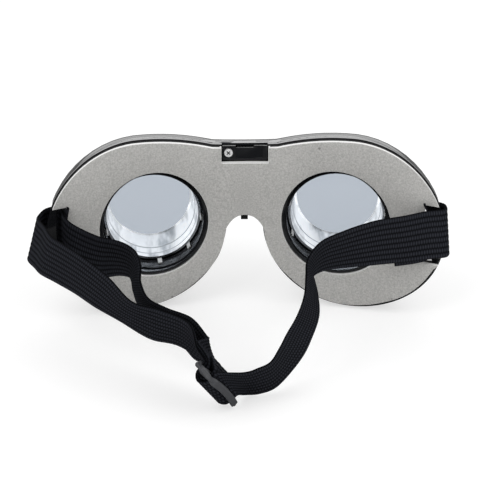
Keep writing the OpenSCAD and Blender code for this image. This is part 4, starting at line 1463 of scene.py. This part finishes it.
    def frames(self) -> list[tuple[Vector, Vector, Vector, float]]:
        """Works out the strap's sections.

        Returns:
            The middle, the direction across, the normal and the length so far of each.
        """
        count = (len(self.route) - 1) * self.steps + 1
        places = [i / self.steps for i in range(count)]
        pairs = [(self.edge_point(p, 0), self.edge_point(p, 1)) for p in places]
        middles = [(a + b) / 2 for a, b in pairs]
        result, length = [], 0.0
        for i, (first, second) in enumerate(pairs):
            if i:
                length += (middles[i] - middles[i - 1]).length
            across = (first - second).normalized()
            along = (middles[min(count - 1, i + 1)] - middles[max(0, i - 1)]).normalized()
            result.append((middles[i], across, along.cross(across).normalized(), length))
        return result

    def section(self) -> list[Point]:
        """Draws the outline of the webbing's ribbed section.

        Returns:
            The outline's points, as distances across and off the middle.
        """
        half = self.width / 2
        count = self.rib_count * 6
        top = []
        for i in range(count + 1):
            share = i / count
            across = half * (1 - 2 * share)
            edge = min(1.0, (half - abs(across)) / self.hem)
            rib = abs(math.sin(math.pi * self.rib_count * share)) * self.rib_height
            off = (self.thickness / 2 - self.rib_height) * math.sqrt(max(0.12, edge)) + rib * edge
            top.append((across, off))
        return top + [(across, -off) for across, off in reversed(top)]

    def build(self) -> None:
        """Builds the strap, the stitching and the slider."""
        strap = self.webbing()
        stitches = self.stitches()
        self.slider()
        length = self.frames()[-1][3] * MM
        LOG.info("strap length %.3f m", length)

    def slider(self) -> bpy.types.Object:
        """Builds the slider in its node's shape, with moulded edges worn round.

        Returns:
            The finished piece.
        """
        mesh = Workshop.copy_of("strap_slider")
        data = bpy.data.meshes.new("slider_rounding")
        mesh.to_mesh(data)
        mesh.free()
        shape = add_object("slider_rounding", data)
        remesh = shape.modifiers.new("remesh", "REMESH")
        remesh.mode = "VOXEL"
        remesh.voxel_size = 0.28 * MM
        smooth = shape.modifiers.new("smooth", "SMOOTH")
        smooth.factor = 0.5
        smooth.iterations = 14
        depsgraph = bpy.context.evaluated_depsgraph_get()
        rounded_mesh = bmesh.new()
        rounded_mesh.from_mesh(shape.evaluated_get(depsgraph).data)
        for vert in rounded_mesh.verts:
            vert.co = self.buckle.worn(vert.co)
        bpy.data.objects.remove(shape)
        bpy.data.meshes.remove(data)
        return Workshop.piece("slider_buckle", rounded_mesh, [SLIDER_SATIN],
                              ["strap_slider"], smooth_degrees=80)

    def webbing(self) -> bpy.types.Object:
        """Builds the ribbed webbing with its own map in metres.

        Returns:
            The finished piece.
        """
        mesh = bmesh.new()
        layer = mesh.loops.layers.uv.new("webbing")
        outline = self.section()
        frames = self.frames()
        rows = []
        for number, (middle, across, normal, length) in enumerate(frames):
            free = self.freedom(number / self.steps)
            ripple = self.ripple * free * noise.noise(Vector((length * 0.09, 3.1, 0)))
            row = []
            for u, off in outline:
                lift = self.curl * free * (abs(u) / (self.width / 2)) ** 3 \
                    * noise.noise(Vector((length * 0.05, math.copysign(7.0, u), 1.7)))
                row.append(mesh.verts.new((middle + across * (u * (1 + 0.01 * ripple))
                                           + normal * (off + lift + ripple)) * MM))
            rows.append(row)
        count = len(outline)
        for i in range(len(rows) - 1):
            for k in range(count):
                j = (k + 1) % count
                face = mesh.faces.new([rows[i][k], rows[i][j], rows[i + 1][j], rows[i + 1][k]])
                spots = [(outline[k][0], frames[i][3]), (outline[j][0], frames[i][3]),
                         (outline[j][0], frames[i + 1][3]), (outline[k][0], frames[i + 1][3])]
                for loop, (u, v) in zip(face.loops, spots):
                    loop[layer].uv = ((u + self.width / 2) * MM, v * MM)
        mesh.faces.new(list(reversed(rows[0])))
        mesh.faces.new(rows[-1])
        for corners in self.turned_corners:
            self.turned_corner(mesh, layer, corners)
        bmesh.ops.recalc_face_normals(mesh, faces=mesh.faces)
        return Workshop.piece("elastic_webbing", mesh, [WEBBING], ["strap"], smooth_degrees=60)

    def turned_corner(self, mesh: bmesh.types.BMesh, layer: bmesh.types.BMLayerItem,
                      corners: Sequence[Place]) -> None:
        """Adds the turned-up corner of the hem that shows at the top of a slot.

        Args:
            mesh: the webbing's mesh.
            layer: its map.
            corners: the corner's outline, in millimetres.
        """
        points = [Vector(corner) for corner in corners]
        off = (points[1] - points[0]).cross(points[2] - points[0]).normalized() * self.corner_half
        near = mesh.faces.new([mesh.verts.new((point - off) * MM) for point in points])
        grown = bmesh.ops.extrude_face_region(mesh, geom=[near], use_keep_orig=True)["geom"]
        far = [item for item in grown if isinstance(item, bmesh.types.BMVert)]
        bmesh.ops.translate(mesh, verts=far, vec=off * 2 * MM)
        for face in {near} | {face for vert in far for face in vert.link_faces}:
            for loop in face.loops:
                loop[layer].uv = (loop.vert.co.z, loop.vert.co.y)

    def stitches(self) -> bpy.types.Object:
        """Builds the rows of stitches at both ends of the webbing as short threads.

        Returns:
            The finished piece.
        """
        frames = self.frames()
        last = len(frames) - 1
        mesh = bmesh.new()
        for row in (0.5, 1.5):
            step = round(row * self.steps)
            self.stitch_row(mesh, frames[step], -1)
            self.stitch_row(mesh, frames[last - step], 1)
        bmesh.ops.recalc_face_normals(mesh, faces=mesh.faces)
        return Workshop.piece("strap_thread", mesh, [THREAD], ["strap_stitches"])

    def stitch_row(self, mesh: bmesh.types.BMesh,
                   section: tuple[Vector, Vector, Vector, float], face: int) -> None:
        """Adds one row of slanted stitches across the webbing.

        Args:
            mesh: the mesh to add to.
            section: the strap's section where the row lies.
            face: 1 or -1, the face of the webbing that the row lies on.
        """
        middle, across, normal, _ = section
        along = across.cross(normal).normalized()
        turn = Matrix((across, along, normal)).transposed().to_4x4()
        for i in range(self.stitch_count):
            u = (self.width - self.stitch_margin) * (i / (self.stitch_count - 1) - 0.5)
            centre = middle + across * u + normal * face * (self.thickness / 2 + 0.05)
            place = Matrix.Translation(centre * MM) @ turn \
                @ Matrix.Rotation(self.stitch_slant * (-1) ** (i + 1), 4, "Z") \
                @ Matrix.Rotation(math.pi / 2, 4, "Y") \
                @ Matrix.Diagonal((1, 1, self.stitch_stretch, 1))
            bmesh.ops.create_uvsphere(mesh, u_segments=8, v_segments=6,
                                      radius=self.stitch_radius * MM, matrix=place)


@dataclass
class Studio:
    """The floor, the lamps, the world and the photograph's camera."""

    floor_height: float = -39.2 * MM
    camera_place: Place = (-0.024735, -1.082985, 0.41617)
    yaw: float = math.radians(1.43)
    elevation: float = math.radians(21.78)
    roll: float = math.radians(0.1)
    lens: float = 198.4
    world_light: float = 0.62
    world_mirrored: float = 0.05
    backdrop_mirrored: float = 1.1
    floor_lit: float = 0.9
    floor_seen: float = 0.45
    floor_mirrored: float = 0.2
    floor_glow: float = 0.62

    def build(self) -> None:
        """Builds the studio."""
        view = bpy.context.scene.view_settings
        view.view_transform = "Standard"
        self.camera()
        self.floor()
        self.world()
        self.lamps()

    def camera(self) -> None:
        """Places the camera as the photograph's."""
        data = bpy.data.cameras.new("camera")
        data.lens = self.lens
        data.sensor_width = 36.0
        data.clip_end = 20.0
        forward = Vector((math.sin(self.yaw) * math.cos(self.elevation),
                          math.cos(self.yaw) * math.cos(self.elevation),
                          -math.sin(self.elevation)))
        right = forward.cross(Vector((0, 0, 1))).normalized()
        up = right.cross(forward)
        right, up = (right * math.cos(self.roll) + up * math.sin(self.roll),
                     up * math.cos(self.roll) - right * math.sin(self.roll))
        made = add_object("camera", data)
        made.matrix_world = Matrix.Translation(self.camera_place) \
            @ Matrix((right, up, -forward)).transposed().to_4x4()
        bpy.context.scene.camera = made

    def floor(self) -> None:
        """Builds the pale floor that shows white and keeps the shadow."""
        mesh = bmesh.new()
        bmesh.ops.create_grid(mesh, x_segments=2, y_segments=2, size=6.0,
                              matrix=Matrix.Translation((0, 0, self.floor_height)))
        data = bpy.data.meshes.new("floor")
        mesh.to_mesh(data)
        mesh.free()
        made = add_object("floor", data)
        material = bpy.data.materials.new("floor_white")
        material.use_nodes = True
        graph = Graph(material.node_tree)
        shader = material.node_tree.nodes["Principled BSDF"]
        shader.inputs["Roughness"].default_value = 0.9
        shader.inputs["Specular IOR Level"].default_value = 0.0
        seen, glossy = self.looked_at(graph)
        mirrored = graph.math("SUBTRACT", glossy, seen, clamp=True)
        shown = graph.mix(seen, self.grey(self.floor_lit), self.grey(self.floor_seen))
        graph.feed(shader.inputs["Base Color"],
                   graph.mix(mirrored, shown, self.grey(self.floor_mirrored)))
        shader.inputs["Emission Color"].default_value = self.grey(1.0)
        graph.feed(shader.inputs["Emission Strength"],
                   graph.math("MULTIPLY", seen, self.floor_glow))
        data.materials.append(material)

    @staticmethod
    def grey(tone: float) -> tuple[float, ...]:
        """Returns a grey of one tone."""
        return (tone, tone, tone, 1.0)

    @staticmethod
    def looked_at(graph: Graph) -> tuple[bpy.types.NodeSocket, bpy.types.NodeSocket]:
        """Tells how a surface is seen.

        Args:
            graph: the graph of its material.

        Returns:
            Whether it is seen straight or through glass, and whether in a reflection.
        """
        path = graph.add("LightPath")
        seen = graph.math("MAXIMUM", path.outputs["Is Camera Ray"],
                          path.outputs["Is Transmission Ray"])
        return seen, path.outputs["Is Glossy Ray"]

    def world(self) -> None:
        """Sets an even white world: plain light for the object, white to look at."""
        world = bpy.data.worlds.new("studio")
        bpy.context.scene.world = world
        world.use_nodes = True
        graph = Graph(world.node_tree)
        background = world.node_tree.nodes["Background"]
        seen, glossy = self.looked_at(graph)
        way = graph.add("SeparateXYZ", {0: graph.add("TexCoord").outputs["Generated"]})
        ahead = graph.ramp(way.outputs[1], 0.2, 0.75)
        above = graph.ramp(way.outputs[2], -0.1, 0.12)
        backdrop = graph.math("ADD", self.world_mirrored, graph.math(
            "MULTIPLY", graph.math("MULTIPLY", ahead, above), self.backdrop_mirrored))
        less = graph.math("MULTIPLY", glossy,
                          graph.math("SUBTRACT", self.world_light, backdrop))
        unseen = graph.math("SUBTRACT", self.world_light, less)
        strength = graph.math("MAXIMUM", unseen, seen)
        background.inputs["Color"].default_value = self.grey(1.0)
        graph.feed(background.inputs["Strength"], strength)

    def lamps(self) -> None:
        """Adds soft lamps above, to the left and to the right."""
        self.lamp("key", (-0.7, -0.9, 1.1), 0.9, 7.0)
        self.lamp("fill", (0.9, -0.6, 0.8), 0.9, 4.0)
        self.lamp("back", (0.0, 1.0, 0.9), 1.2, 5.0)

    @staticmethod
    def lamp(name: str, place: Place, size: float, power: float) -> None:
        """Adds one soft lamp that faces the object.

        Args:
            name: the lamp's name.
            place: where it stands, in metres.
            size: its width.
            power: its strength in watts.
        """
        data = bpy.data.lights.new(name, "AREA")
        data.size = size
        data.energy = power
        made = add_object(name, data)
        made.location = place
        made.rotation_mode = "QUATERNION"
        made.rotation_quaternion = (-Vector(place)).to_track_quat("-Z", "Y")


def main() -> None:
    """Builds every sub-assembly in order."""
    logging.basicConfig(level=logging.INFO, format="%(name)s: %(message)s")
    Studio().build()
    eyepieces = [Eyepiece(1, "right", 26.0), Eyepiece(-1, "left", 8.0)]
    Mask(eyepieces).build()
    for eyepiece in eyepieces:
        eyepiece.build()
    Bridge().build()
    HeadStrap().build()


if __name__ == "__main__":
    main()
